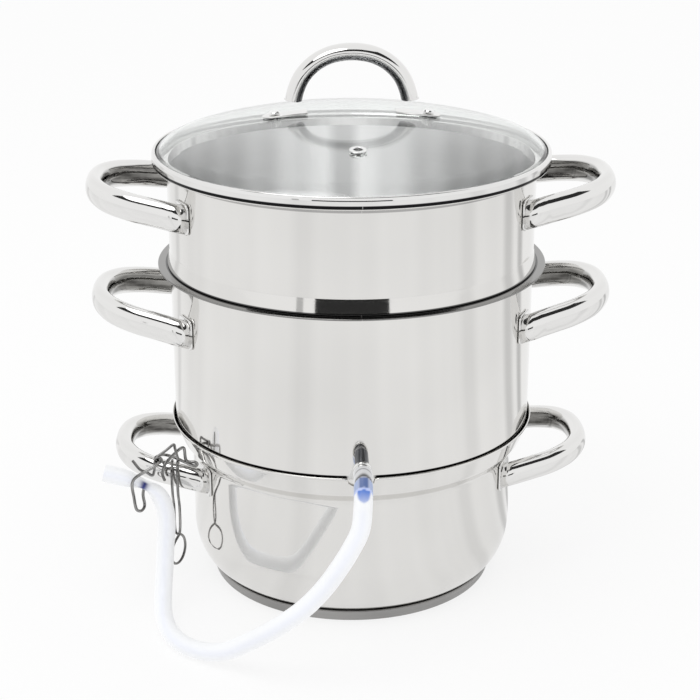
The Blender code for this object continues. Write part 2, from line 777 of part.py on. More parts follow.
def build_vent():
    """Eyelet in the glass that lets steam out: a rim above, a neck and a rim below."""
    top = VENT_RIM_T + GAP
    low = -GLASS_T - GAP
    profile = [
        (VENT_BORE_R, top),
        (VENT_R - VENT_RIM_T, top),
        (VENT_R, top - VENT_RIM_T / 2),
        (VENT_R, GAP),
        (VENT_NECK_R, GAP),
        (VENT_NECK_R, low),
        (VENT_R, low),
        (VENT_R, low - VENT_RIM_T / 2),
        (VENT_R - VENT_RIM_T, low - VENT_RIM_T),
        (VENT_BORE_R, low - VENT_RIM_T),
    ]
    frame = dome_frame(0.0, -VENT_OFFSET, 0.0)
    return turned("lid_vent_eyelet", profile, CHROME, ring=True, steps=SMALL_STEPS, frame=frame, parent=lid_lift)


def build_lid_handle():
    """Arched grip over the dome, its two feet cut flat over the tabs."""
    foot_z = dome(ARCH_HALF) + 2 * GAP + TAB_T + GAP
    squash = ARCH_DEEP / ARCH_THICK
    half = [(ARCH_HALF * s, 0.0, ARCH_H * u) for s, u in zip(ARCH_HALF_SHARES, ARCH_RISE_SHARES)]
    points = half + [(0.0, 0.0, ARCH_H)] + [(-x, y, z) for x, y, z in half[::-1]]
    curve = wire("lid_handle_arch", through(points, 2), ARCH_THICK / 2, STEEL)
    arch = made_mesh(curve, STEEL, lid_lift)
    arch.data.transform(Matrix.Diagonal((1.0, squash, 1.0, 1.0)))
    arch.matrix_world = Matrix.Translation((0.0, 0.0, foot_z))
    middle = (TAB_OUTER + TAB_INNER) / 2
    for side, word in ((-1, "left"), (1, "right")):
        frame = dome_frame(side * middle, 0.0, 2 * GAP + TAB_T - ARCH_THICK / 2)
        cut(arch, cylinder(f"arch_foot_cutter_{word}", ARCH_DEEP, ARCH_THICK, frame))
    smooth(arch)
    return arch


def build_lid_fixings():
    """On each side: the tab, its screw through the glass, a washer and a nut inside the lid."""
    middle = (TAB_OUTER + TAB_INNER) / 2
    reach = (TAB_OUTER - TAB_INNER) / 2
    for side, word in ((-1, "left"), (1, "right")):
        round_end = [radians(-90 + 180 * step / 8) for step in range(9)]
        straight = reach - TAB_W / 2
        points = [(side * (straight + TAB_W / 2 * cos(t)), TAB_W / 2 * sin(t)) for t in round_end]
        points += [(-side * reach, TAB_W / 2), (-side * reach, -TAB_W / 2)]
        curve = outline(f"lid_handle_tab_{word}", points, TAB_T, STEEL)
        curve.matrix_world = dome_frame(side * middle, 0.0, GAP + TAB_T / 2)
        tab = made_mesh(curve, STEEL, lid_lift)
        at = dome_frame(side * SCREW_AT, 0.0, 0.0)
        cut(tab, cylinder(f"tab_hole_cutter_{word}", SCREW_R + GAP, 8 * TAB_T, at, SCREW_STEPS))
        build_screw(word, at)


def build_screw(word, at):
    """Pan-head screw from above, washer and hexagon nut from below."""
    head_z = 3 * GAP + TAB_T
    washer_z = -GLASS_T - GAP
    nut_z = washer_z - WASHER_T - GAP
    end_z = nut_z - NUT_H - SCREW_END
    screw = [
        (0.0, head_z + SCREW_HEAD_H),
        (SCREW_HEAD_R / 2, head_z + SCREW_HEAD_H),
        (SCREW_HEAD_R, head_z + SCREW_HEAD_H / 3),
        (SCREW_HEAD_R, head_z),
        (SCREW_R, head_z),
        (SCREW_R, end_z),
        (0.0, end_z),
    ]
    turned(f"lid_screw_{word}", screw, CHROME, steps=SCREW_STEPS, frame=at, parent=lid_lift)
    bore = SCREW_R + GAP
    washer = [
        (bore, washer_z),
        (WASHER_R, washer_z),
        (WASHER_R, washer_z - WASHER_T),
        (bore, washer_z - WASHER_T),
    ]
    turned(f"lid_washer_{word}", washer, SATIN, ring=True, steps=SMALL_STEPS, frame=at, parent=lid_lift)
    nut = [(bore, nut_z), (NUT_R, nut_z), (NUT_R, nut_z - NUT_H), (bore, nut_z - NUT_H)]
    turned(f"lid_nut_{word}", nut, SATIN, ring=True, steps=6, frame=at, parent=lid_lift)


def handle_line(wall_r, span, rise):
    """Centre line of the right-hand side handle of a pot, its roots at height zero."""
    half = span / 2
    start = sqrt((wall_r + HANDLE_ROOT) ** 2 - half**2)
    reach = wall_r + HANDLE_OUT - start
    places = []
    for far, spread in zip(HANDLE_REACH_SHARES, HANDLE_SPREAD_SHARES):
        places.append(Vector((start + reach * far, half * spread, rise * far)))
    mirrored = [Vector((place.x, -place.y, place.z)) for place in places[-2::-1]]
    return places + mirrored


def build_handles(pot, wall_r, span, root_z, rise, parent):
    """Two oval tube handles of a pot, each cut to its wall, with a pad under each of their ends."""
    squash = HANDLE_H / HANDLE_W
    wall_frame = Matrix.Translation((0.0, 0.0, root_z))
    pad_r = wall_r + GAP + PAD_T
    wall = cylinder(f"{pot}_wall_cutter", pad_r + GAP, 4 * HANDLE_H, wall_frame, PAD_STEPS)
    pad_ring = turned(
        f"{pot}_pad_ring",
        [
            (wall_r + GAP, PAD_H),
            (pad_r, PAD_H),
            (pad_r, -PAD_H),
            (wall_r + GAP, -PAD_H),
        ],
        ring=True,
        steps=PAD_STEPS,
        frame=wall_frame,
    )
    pad_turn = asin(span / 2 / pad_r)
    for side, word in ((-1, "left"), (1, "right")):
        line = [Vector((side * p.x, p.y, p.z / squash)) for p in handle_line(wall_r, span, rise)]
        curve = wire(f"{pot}_handle_{word}", through(line, 2), HANDLE_W / 2, STEEL)
        handle = made_mesh(curve, STEEL, parent)
        handle.data.transform(Matrix.Diagonal((1.0, 1.0, squash, 1.0)))
        handle.matrix_world = wall_frame
        cut(handle, wall)
        smooth(handle)
        for end, place in ((-1, "front"), (1, "back")):
            turn = atan2(end * sin(pad_turn), side * cos(pad_turn))
            build_pad(f"{pot}_handle_pad_{word}_{place}", turn, pad_r, pad_ring, wall_frame, parent)


def build_pad(name, turn, radius, pad_ring, wall_frame, parent):
    """Curved pad that spreads a handle end over the pot wall."""
    points = []
    for x, y, start in ((1, 1, 0), (-1, 1, 90), (-1, -1, 180), (1, -1, 270)):
        centre = (x * (PAD_W / 2 - PAD_CORNER), y * (PAD_H / 2 - PAD_CORNER))
        points += arc(*centre, PAD_CORNER, PAD_CORNER, start, start + 90, 4)
    curve = outline(name, points, 8 * PAD_T, STEEL)
    out = Vector((cos(turn), sin(turn), 0.0))
    upright = Matrix.Rotation(turn + pi / 2, 4, "Z") @ Matrix.Rotation(pi / 2, 4, "X")
    curve.matrix_world = wall_frame @ Matrix.Translation(out * radius) @ upright
    pad = made_mesh(curve, STEEL, parent)
    cut(pad, pad_ring, "INTERSECT")
    return pad


def build_hose():
    """Clear juice hose, pushed over the outlet at one end and open at the other."""
    start = outlet_frame(FERRULE_STANDOFF + FERRULE_L + GAP).translation
    straight = outlet_frame(FERRULE_STANDOFF + FERRULE_L + GAP + HOSE_STRAIGHT).translation
    line = [start, *respaced(through([straight, *HOSE_ROUTE], 8), HOSE_POINT_SPACING)]
    curve = wire("juice_hose", line, HOSE_D / 2, SILICONE)
    hose = made_mesh(curve, SILICONE, kettle_lift)
    socket = FERRULE_STANDOFF + FERRULE_L + GAP + OUTLET_IN_HOSE / 2
    socket_l = OUTLET_IN_HOSE + 4 * GAP
    cut(hose, cylinder("hose_socket_cutter", OUTLET_R + GAP, socket_l, outlet_frame(socket)))
    way = (line[-1] - line[-2]).normalized()
    turn = Vector((0.0, 0.0, 1.0)).rotation_difference(way).to_matrix().to_4x4()
    mouth = Matrix.Translation(line[-1]) @ turn
    cut(hose, cylinder("hose_mouth_cutter", HOSE_BORE_R, 2 * HOSE_MOUTH, mouth, SCREW_STEPS))
    smooth(hose)
    return hose


def pan_arm_top(share):
    """Point on top of the front arm of the pan's left handle, at a share of the handle's reach."""
    line = through(handle_line(PAN_R, PAN_HANDLE_SPAN, PAN_HANDLE_RISE), 24)
    start = sqrt((PAN_R + HANDLE_ROOT) ** 2 - (PAN_HANDLE_SPAN / 2) ** 2)
    far = start + (PAN_R + HANDLE_OUT - start) * share
    place = min(line[: len(line) // 2], key=lambda point: abs(point.x - far))
    return Vector((-place.x, -place.y, place.z + pan_handle_z + HANDLE_H / 2))


def build_clamp():
    """Fixed wire of the hose clamp: a loop under the hose, the pin of the jaw, a bar and an ear."""
    pinch = Vector(HOSE_ROUTE[CLAMP_AT])
    places = []
    for along, across, up in CLAMP_LOOP_SHARES:
        offset = (-CLAMP_LOOP_W * along, CLAMP_STRADDLE * across, CLAMP_LOOP_DROP * up)
        places.append(pinch + Vector(offset))
    pin = pinch + Vector((CLAMP_PIN_OUT, -CLAMP_PIN_FRONT, CLAMP_PIN_UP))
    pin_end = pin + Vector((0.0, CLAMP_PIN_L, 0.0))
    on_arm = Vector((0.0, 0.0, GAP + CLAMP_WIRE_R))
    on_hook = on_arm + Vector((0.0, 0.0, 5 * GAP + 2 * HOOK_WIRE_R))
    fold = Vector((0.0, 0.0, CLAMP_BAR_FOLD))
    bar_far = pan_arm_top(CLAMP_BAR_FAR_SHARE) + on_hook
    bar_hook = pan_arm_top(HOOK_SHARE) + on_hook
    bar_near = pan_arm_top(CLAMP_BAR_NEAR_SHARE) + on_arm
    turn_back = pan_arm_top(CLAMP_BAR_NEAR_SHARE) + on_arm + fold / 2 + Vector((CLAMP_WIRE_R, 0.0, 0.0))
    places += [pin, pin.lerp(pin_end, 0.5), pin_end, bar_far, bar_hook, bar_near, turn_back]
    ear = pan_arm_top(CLAMP_FOLD_SHARE) + on_arm + fold
    places += [bar_near + fold, ear]
    for along, across, up in CLAMP_EAR_SHARES:
        offset = (-CLAMP_EAR_OUT * along, -CLAMP_EAR_FRONT * across, CLAMP_EAR_H * up)
        places.append(ear + Vector(offset))
    wire("hose_clamp_wire", through(places, 2), CLAMP_WIRE_R, DARK_WIRE, kettle_lift)
    return pin


def build_jaw(pin):
    """Sprung jaw of the clamp: it presses on the hose and is wound round the pin, up to a lever."""
    pinch = Vector(HOSE_ROUTE[CLAMP_AT])
    pivot = joint_empty("hose_clamp_pivot", pin)
    places = []
    for along, across, up in JAW_SHARES:
        places.append(pinch + Vector((JAW_REACH * along, COIL_OFFSET * across, JAW_LIFT * up)))
    coil_r = CLAMP_WIRE_R + GAP + JAW_WIRE_R
    coil_y = pinch.y + COIL_OFFSET
    start = through(places, 2)
    coil = []
    for step in range(COIL_POINTS + 1):
        turn = pi - 2 * pi * COIL_TURNS * step / COIL_POINTS
        along = COIL_PITCH * COIL_TURNS * step / COIL_POINTS
        coil.append(Vector((pin.x + coil_r * cos(turn), coil_y + along, pin.z + coil_r * sin(turn))))
    peak = coil[-1] + Vector((JAW_LEVER_OUT, COIL_OFFSET, JAW_LEVER_UP - coil_r))
    fold = peak + Vector((coil_r, 0.0, -JAW_LEVER_FOLD))
    lever = through([coil[-1], coil[-1].lerp(peak, 0.5), peak, peak + (fold - peak) / 4, fold], 2)
    return wire("hose_clamp_jaw", start + coil + lever[1:], JAW_WIRE_R, DARK_WIRE, pivot)


def build_hook():
    """Wire hook over the handle arm: its two legs run back under the arm, cross, and close a round eye."""
    top = pan_arm_top(HOOK_SHARE)
    radius = HANDLE_W / 2 + HOOK_SIDE_CLEARANCE + HOOK_WIRE_R
    crown = Vector((top.x, top.y, top.z + 3 * GAP + HOOK_WIRE_R - radius))
    across = HOOK_LEG_SPACING / 2
    aside = HOOK_CROSS_SPACING / 2
    half = sqrt(across**2 + aside**2)
    leg = [Vector((half, radius, -HOOK_TIP_DROP))]
    for step in range(9):
        turn = pi * step / 8
        leg.append(Vector((half, radius * cos(turn), radius * sin(turn))))
    for side, drop in HOOK_BEND_SHARES:
        back = HOOK_SHANK_BACK + (radius + HOOK_SHANK_BACK) * side
        leg.append(Vector((half, back, -HOOK_BEND_DROP * drop)))
    shank = Matrix.Translation((0.0, HOOK_SHANK_BACK, 0.0)) @ Matrix.Rotation(HOOK_EYE_TURN, 4, "Z")
    neck = HOOK_NECK_Z - crown.z
    eye_z = HOOK_EYE_Z - crown.z
    eye = [Vector((across, -aside, neck + HOOK_NECK_H)), Vector((0.0, -aside, neck))]
    for step in range(HOOK_EYE_POINTS + 1):
        turn = radians(125 + 290 * step / HOOK_EYE_POINTS)
        lean = -aside * cos(pi * step / HOOK_EYE_POINTS)
        eye.append(Vector((HOOK_EYE_W / 2 * cos(turn), lean, eye_z + HOOK_EYE_H / 2 * sin(turn))))
    eye += [Vector((0.0, aside, neck)), Vector((-across, aside, neck + HOOK_NECK_H))]
    other = [Vector((-place.x, place.y, place.z)) for place in leg[::-1]]
    places = [crown + place for place in leg + [shank @ place for place in eye] + other]
    pivot = joint_empty("wire_hook_pivot", top)
    return wire("wire_hook", places, HOOK_WIRE_R, DARK_WIRE, pivot)


build_base_disc()
build_pan()
build_kettle()
build_chimney()
build_outlet()
build_basket()
build_glass()
build_band()
build_vent()
build_lid_handle()
build_lid_fixings()
build_handles("pan", PAN_R, PAN_HANDLE_SPAN, pan_handle_z, PAN_HANDLE_RISE, None)
build_handles("kettle", kettle_r, KETTLE_HANDLE_SPAN, kettle_handle_z, KETTLE_HANDLE_RISE, kettle_lift)
build_handles("basket", basket_r, BASKET_HANDLE_SPAN, basket_handle_z, BASKET_HANDLE_RISE, basket_lift)
build_hose()
build_jaw(build_clamp())
build_hook()
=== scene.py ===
"""Looks of the steam juicer: a water pan, a juice kettle, a fruit basket and a glass lid in one stack,
with a clear hose held by a sprung wire clamp. Metres, +Z up, the outlet points to -Y."""

from math import radians

import bmesh
import bpy
import numpy as np
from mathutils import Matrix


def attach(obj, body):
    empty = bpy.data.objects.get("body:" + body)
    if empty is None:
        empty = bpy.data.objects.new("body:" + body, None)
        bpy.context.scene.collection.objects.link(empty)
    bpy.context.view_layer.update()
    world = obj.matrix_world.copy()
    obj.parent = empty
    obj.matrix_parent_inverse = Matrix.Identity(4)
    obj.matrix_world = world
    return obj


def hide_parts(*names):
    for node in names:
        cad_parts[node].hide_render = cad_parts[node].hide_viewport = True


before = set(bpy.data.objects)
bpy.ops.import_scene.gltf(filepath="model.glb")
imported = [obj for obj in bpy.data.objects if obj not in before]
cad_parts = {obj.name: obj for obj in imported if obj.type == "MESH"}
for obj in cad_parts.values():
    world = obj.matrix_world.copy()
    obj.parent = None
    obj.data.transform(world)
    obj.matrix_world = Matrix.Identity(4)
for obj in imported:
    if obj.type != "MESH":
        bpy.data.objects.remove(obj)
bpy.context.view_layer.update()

# Camera
# It stands in front of the outlet, a little to its left, and looks down on the lid at twenty degrees.
CAMERA_PLACE = (-0.05806, -1.16350, 0.59886)
CAMERA_TILT = radians(69.694)
CAMERA_YAW = radians(-2.8)
CAMERA_LENS = 86.35

camera = bpy.data.objects.new("camera", bpy.data.cameras.new("camera"))
camera.location = CAMERA_PLACE
camera.rotation_euler = (CAMERA_TILT, 0.0, CAMERA_YAW)
camera.data.lens = CAMERA_LENS
camera.data.sensor_width = 36.0
camera.data.clip_start = 0.01
bpy.context.scene.collection.objects.link(camera)
bpy.context.scene.camera = camera

# Juice hose
# A clear silicone tube, hollow all along. Its end is pushed over the outlet pipe up to the ferrule, it
# drops in front of the pan to the worktop, lies there and climbs to the clamp, which pinches it flat.
HOSE_D = 0.0127
HOSE_BORE = 0.0084
HOSE_EXIT = (0.0, -0.14940, 0.13565)
HOSE_ROUTE = (
    HOSE_EXIT,
    (0.0000, -0.15313, 0.13458),
    (0.0000, -0.1560, 0.1335),
    (-0.0003, -0.1632, 0.1264),
    (-0.0009, -0.1690, 0.1185),
    (-0.0030, -0.1765, 0.1075),
    (-0.0096, -0.1830, 0.0965),
    (-0.0182, -0.1880, 0.0847),
    (-0.0281, -0.1908, 0.0720),
    (-0.0413, -0.1905, 0.0576),
    (-0.0605, -0.1850, 0.0405),
    (-0.0790, -0.1745, 0.0245),
    (-0.0935, -0.1655, 0.0135),
    (-0.1080, -0.1560, 0.0080),
    (-0.1215, -0.1450, 0.0066),
    (-0.1320, -0.1300, 0.0074),
    (-0.1378, -0.1120, 0.0110),
    (-0.1392, -0.0950, 0.0190),
    (-0.1385, -0.0820, 0.0330),
    (-0.1374, -0.0750, 0.0500),
    (-0.1362, -0.0735, 0.0660),
    (-0.1375, -0.0735, 0.0790),
    (-0.1424, -0.0732, 0.0895),
    (-0.1505, -0.0729, 0.0957),
    (-0.1600, -0.0724, 0.0992),
    (-0.1695, -0.0718, 0.1021),
    (-0.1790, -0.0713, 0.1045),
)
HOSE_PINCH = (-0.1505, -0.0729, 0.0957)
HOSE_PINCH_REACH = 0.0090
HOSE_PINCH_SHARE = 0.42
HOSE_CLEAR = (0.975, 0.985, 1.0)
# Colours painted on the hose wall as the view through it from the front: a tint over the bore, the pipe and its barbs,
# a sleeve with painted shade in the middle, a painted highlight at its rim, a painted refraction tongue, and painted
# shade where the clamp pinches.
BORE_TINT = (0.88, 0.905, 1.0)
HOSE_GLOW = 0.40
SLEEVE_FROM = 0.0080
SLEEVE_MIDDLE_SHADE = (0.13, 0.19, 0.40)
SLEEVE_SIDE = (0.42, 0.50, 0.72)
SLEEVE_RIM_HIGHLIGHT = (0.55, 0.64, 0.97)
RIM_FROM = 0.0138
RIM_TO = 0.0151
RIM_BOW = 0.0042
TONGUE_REFRACTION_BLUE = (0.07, 0.20, 0.68)
BARB_STEEL = (0.66, 0.66, 0.67)
BARB_DARK = (0.06, 0.058, 0.06)
BARBS = ((0.0024, 0.0005, 0.6), (0.0069, 0.0008, 0.95))
TONGUE_L = 0.0085
PINCH_SHADE_NAVY = (0.02, 0.03, 0.20)
PINCH_SPOT_AT = 0.0006
PINCH_SPOT_L = 0.0027
HOSE_FRONT = np.array([0.0, -0.94, 0.34])


def smooth_line(points, per_span):
    """Curve through the points: on each span the centripetal Catmull-Rom blend of its four nearest
    points, which is three rounds of straight blends between neighbours, all spans at once."""
    known = np.array(points, float)
    known = np.vstack([2 * known[0] - known[1], known, 2 * known[-1] - known[-2]])
    knots = np.concatenate([[0.0], np.cumsum(np.sqrt(np.linalg.norm(np.diff(known, axis=0), axis=1)))])
    a, b, c, d = (known[k : len(known) - 3 + k, None] for k in range(4))
    ta, tb, tc, td = (knots[k : len(knots) - 3 + k, None, None] for k in range(4))
    t = tb + (tc - tb) * (np.arange(per_span) / per_span)[None, :, None]

    def blend(first, second, start, end):
        return first + (second - first) * (t - start) / (end - start)

    ab, bc, cd = blend(a, b, ta, tb), blend(b, c, tb, tc), blend(c, d, tc, td)
    made = blend(blend(ab, bc, ta, tc), blend(bc, cd, tb, td), tb, tc)
    return np.vstack([made.reshape(-1, 3), known[-2]])


def lengths_along(line):
    """Distance of each point of a line from its start, measured along it."""
    return np.concatenate([[0.0], np.cumsum(np.linalg.norm(np.diff(line, axis=0), axis=1))])


def carried_frames(line):
    """Unit tangent, side and upper directions at each point. The side is carried from point to point:
    what leans along the new tangent is taken off it, so that the section never twists."""
    tangent = np.gradient(line, axis=0)
    tangent /= np.linalg.norm(tangent, axis=1)[:, None]
    side = np.empty_like(tangent)
    last = np.cross(tangent[0], (0.13, 0.31, 0.94))
    for place, way in enumerate(tangent):
        last = last - way * (last @ way)
        last = last / np.linalg.norm(last)
        side[place] = last
    return tangent, side, np.cross(tangent, side)


def grid_piece(name, places, finish, wrap_rows=False, wrap_columns=True, lengths=None, tints=None):
    """Mesh over a grid of points, rows along the piece and columns round it, wrapped where asked. The
    UV map holds the share round the piece and the distance along it in metres, and the tint attribute
    a colour for each point where colours are given. Poles are merged."""
    rows, columns = places.shape[:2]
    index = np.arange(rows * columns).reshape(rows, columns)
    far = np.arange(rows, dtype=float) if lengths is None else np.asarray(lengths, float)
    if wrap_rows:
        index = np.vstack([index, index[:1]])
        far = np.append(far, far[-1] + (far[-1] - far[-2]))
    if wrap_columns:
        index = np.hstack([index, index[:, :1]])
    faces = np.stack([index[:-1, :-1], index[:-1, 1:], index[1:, 1:], index[1:, :-1]], axis=-1)
    share = np.linspace(0.0, 1.0, index.shape[1])
    across, along = np.meshgrid(share, far)
    marks = np.stack([across, along], axis=-1)
    corners = np.stack([marks[:-1, :-1], marks[:-1, 1:], marks[1:, 1:], marks[1:, :-1]], axis=2)
    mesh = bpy.data.meshes.new(name)
    mesh.from_pydata(places.reshape(-1, 3).tolist(), [], faces.reshape(-1, 4).tolist())
    mesh.uv_layers.new(name="UVMap").data.foreach_set("uv", corners.reshape(-1).astype(np.float32))
    if tints is not None:
        full = np.concatenate([tints.reshape(-1, 3), np.ones((rows * columns, 1))], axis=1)
        layer = mesh.attributes.new("tint", "FLOAT_COLOR", "POINT")
        layer.data.foreach_set("color", full.reshape(-1).astype(np.float32))
    work = bmesh.new()
    work.from_mesh(mesh)
    bmesh.ops.remove_doubles(work, verts=work.verts, dist=1e-7)
    bmesh.ops.dissolve_degenerate(work, edges=work.edges, dist=1e-8)
    bmesh.ops.recalc_face_normals(work, faces=work.faces)
    work.to_mesh(mesh)
    work.free()
    mesh.shade_smooth()
    mesh.materials.append(finish)
    piece = bpy.data.objects.new(name, mesh)
    bpy.context.scene.collection.objects.link(piece)
    return piece


def section_grid(line, wide, high, side, upper, columns):
    """Oval section carried along a line: each point is the centre plus the side direction times the half
    width times a cosine, plus the upper direction times the half height times a sine."""
    turn = np.linspace(0.0, 2 * np.pi, columns, endpoint=False)
    wide = np.broadcast_to(wide, len(line))[:, None, None]
    high = np.broadcast_to(high, len(line))[:, None, None]
    round_side = side[:, None] * wide * np.cos(turn)[None, :, None]
    return line[:, None] + round_side + upper[:, None] * high * np.sin(turn)[None, :, None]


def shader_group(name, given, result):
    """An empty shader node group with named inputs (a number, or None for a vector) and outputs."""
    tree = bpy.data.node_groups.new(name, "ShaderNodeTree")
    for socket, value in given.items():
        kind = "NodeSocketVector" if value is None else "NodeSocketFloat"
        made = tree.interface.new_socket(socket, in_out="INPUT", socket_type=kind)
        if value is not None:
            made.default_value = value
    for socket in result:
        tree.interface.new_socket(socket, in_out="OUTPUT", socket_type="NodeSocketFloat")
    return tree, tree.nodes.new("NodeGroupInput"), tree.nodes.new("NodeGroupOutput")


def new_finish(name, colour, roughness, metallic):
    """A material with its Principled shader set to a colour, a roughness and a metallic value."""
    made = bpy.data.materials.new(name)
    made.use_nodes = True
    shader = made.node_tree.nodes["Principled BSDF"]
    shader.inputs["Base Color"].default_value = (*colour, 1.0)
    shader.inputs["Roughness"].default_value = roughness
    shader.inputs["Metallic"].default_value = metallic
    return made, made.node_tree.nodes, made.node_tree.links, shader


def ranged(nodes, links, source, low, high, to_low, to_high):
    """A Map Range node that takes a value from one range to another, held inside it."""
    made = nodes.new("ShaderNodeMapRange")
    for socket, value in zip(("From Min", "From Max", "To Min", "To Max"), (low, high, to_low, to_high)):
        made.inputs[socket].default_value = value
    links.new(source, made.inputs["Value"])
    return made.outputs["Result"]


def colour_mix(nodes, links, share, first, second):
    """A Mix node between two colours, or between a colour socket and a colour."""
    made = nodes.new("ShaderNodeMix")
    made.data_type = "RGBA"
    links.new(share, made.inputs["Factor"])
    for socket, colour in ((made.inputs[6], first), (made.inputs[7], second)):
        if isinstance(colour, tuple):
            socket.default_value = (*colour, 1.0)
        else:
            links.new(colour, socket)
    return made.outputs[2]


def hose_finish():
    """Frosted clear silicone. The tint attribute holds a painted view through the wall, with painted shade and a
    painted highlight, a soft cloud of noise on Object coordinates makes it a little uneven, and a low painted glow
    stands for the light that the milky wall passes on from its lit side."""
    made, nodes, links, shader = new_finish("clear_silicone", HOSE_CLEAR, 0.30, 0.0)
    shader.inputs["Transmission Weight"].default_value = 0.05
    shader.inputs["IOR"].default_value = 1.41
    place = nodes.new("ShaderNodeTexCoord")
    cloudy = nodes.new("ShaderNodeTexNoise")
    cloudy.inputs["Scale"].default_value = 16.0
    cloudy.inputs["Detail"].default_value = 0.0
    links.new(place.outputs["Object"], cloudy.inputs["Vector"])
    haze = ranged(nodes, links, cloudy.outputs["Fac"], 0.3, 0.7, 0.675, 0.695)
    tint = nodes.new("ShaderNodeAttribute")
    tint.attribute_name = "tint"
    whole = nodes.new("ShaderNodeVectorMath")
    whole.operation = "SCALE"
    links.new(tint.outputs["Color"], whole.inputs[0])
    links.new(haze, whole.inputs["Scale"])
    links.new(whole.outputs["Vector"], shader.inputs["Base Color"])
    links.new(whole.outputs["Vector"], shader.inputs["Emission Color"])
    shader.inputs["Emission Strength"].default_value = HOSE_GLOW
    links.new(ranged(nodes, links, cloudy.outputs["Fac"], 0.3, 0.7, 0.28, 0.34), shader.inputs["Roughness"])
    return made


def soft_step(value, low, high):
    """Zero below the low value and one above the high one, with a smooth S between them."""
    share = np.clip((value - low) / (high - low), 0.0, 1.0)
    return share * share * (3 - 2 * share)


def hose_tints(far, turn, pinch_near):
    """Colour at each point of the hose wall, from its distance along the hose and its turn from the front. Painted on
    it is the view through the wall from the front: the pipe with its two dark barbs, a slate sleeve with painted shade
    darker in the middle, a painted highlight on its pale rim, a blue tongue of painted refraction of the pipe that
    narrows downwards, a pale tint over the bore further on, and a navy spot of painted shade where the clamp pinches.
    The lines across the hose bow by a share of one minus the cosine of the turn, as the end of a round pipe does."""
    far = far[:, None] - RIM_BOW * (1 - np.cos(turn))
    sleeve = soft_step(far, SLEEVE_FROM - 0.0008, SLEEVE_FROM) * (1 - soft_step(far, RIM_FROM - 0.0004, RIM_FROM))
    rim = soft_step(far, RIM_FROM - 0.0004, RIM_FROM) * (1 - soft_step(far, RIM_TO, RIM_TO + 0.0003))
    down = (far - RIM_TO) / TONGUE_L
    reach = radians(44) - radians(24) * np.clip(down, 0.0, 1.0) ** 1.5
    tongue = soft_step(far, RIM_TO, RIM_TO + 0.0003) * soft_step(reach - turn, -0.18, 0.16)
    tongue = tongue * (1 - soft_step(down + 0.25 * (turn / reach) ** 2, 0.88, 1.08))
    middle = 1 - soft_step(turn, radians(20), radians(44))
    made = np.ones(far.shape + (3,)) * HOSE_CLEAR
    bore = 0.55 * soft_step(far, RIM_TO + TONGUE_L, RIM_TO + 2 * TONGUE_L) * np.exp(-((turn / radians(26)) ** 2))
    on_pipe = (1 - soft_step(far, SLEEVE_FROM - 0.0008, SLEEVE_FROM)) * (1 - soft_step(turn, radians(50), radians(85)))
    for share, colour in (
        (bore, BORE_TINT),
        (on_pipe * 0.8, BARB_STEEL),
        *((on_pipe * np.exp(-(((far - at) / half) ** 2)) * dark, BARB_DARK) for at, half, dark in BARBS),
        (sleeve * (1 - middle), SLEEVE_SIDE),
        (sleeve * middle, SLEEVE_MIDDLE_SHADE),
        (rim, SLEEVE_RIM_HIGHLIGHT),
        (tongue * (1 - 0.5 * np.clip(down, 0.0, 1.0)), TONGUE_REFRACTION_BLUE),
        (pinch_near[:, None] * (1 - soft_step(turn, radians(38), radians(72))), PINCH_SHADE_NAVY),
    ):
        made = made + (np.array(colour) - made) * share[..., None]
    return made


hose_line = smooth_line(HOSE_ROUTE, 12)
hose_far = lengths_along(hose_line)
_, hose_side, hose_upper = carried_frames(hose_line)
level = np.array([0.0, 1.0, 0.0])
pinch_gap = np.linalg.norm(hose_line - np.array(HOSE_PINCH), axis=1) / HOSE_PINCH_REACH
pinch = np.exp(-(pinch_gap**2))[:, None]
hose_tangent = np.gradient(hose_line, axis=0)
hose_tangent /= np.linalg.norm(hose_tangent, axis=1)[:, None]
flat_upper = np.cross(hose_tangent, level)
flat_upper /= np.linalg.norm(flat_upper, axis=1)[:, None]


def pinched(grid, line, across, share):
    """The section grid with what stands off the line along the pinch direction brought in by a share."""
    off = ((grid - line[:, None]) * across[:, None]).sum(axis=2, keepdims=True)
    return grid - off * across[:, None] * share[:, :, None]


outer = section_grid(hose_line, HOSE_D / 2, HOSE_D / 2, hose_side, hose_upper, 72)
inner = section_grid(hose_line, HOSE_BORE / 2, HOSE_BORE / 2, hose_side, hose_upper, 72)
look = HOSE_FRONT - hose_tangent * (hose_tangent @ HOSE_FRONT)[:, None]
look /= np.linalg.norm(look, axis=1)[:, None]
pinch_far = np.exp(-(((hose_far - hose_far[pinch_gap.argmin()] - PINCH_SPOT_AT) / PINCH_SPOT_L) ** 2))


def facing_turn(grid):
    """Angle of each point of a section from the side of the hose that is turned to the front."""
    off = grid - hose_line[:, None]
    off /= np.linalg.norm(off, axis=2)[..., None]
    return np.arccos(np.clip((off * look[:, None]).sum(axis=2), -1.0, 1.0))


outer_tint, inner_tint = (hose_tints(hose_far, facing_turn(grid), pinch_far) for grid in (outer, inner))
outer = pinched(outer, hose_line, flat_upper, pinch * (1 - HOSE_PINCH_SHARE))
inner = pinched(inner, hose_line, flat_upper, pinch * (1 - HOSE_PINCH_SHARE / 3))
hose = grid_piece(
    "clear_hose",
    np.concatenate([outer, inner[::-1]]),
    hose_finish(),
    wrap_rows=True,
    lengths=np.concatenate([hose_far, hose_far[::-1]]),
    tints=np.concatenate([outer_tint, inner_tint[::-1]]),
)
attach(hose, "kettle")
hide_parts("juice_hose")

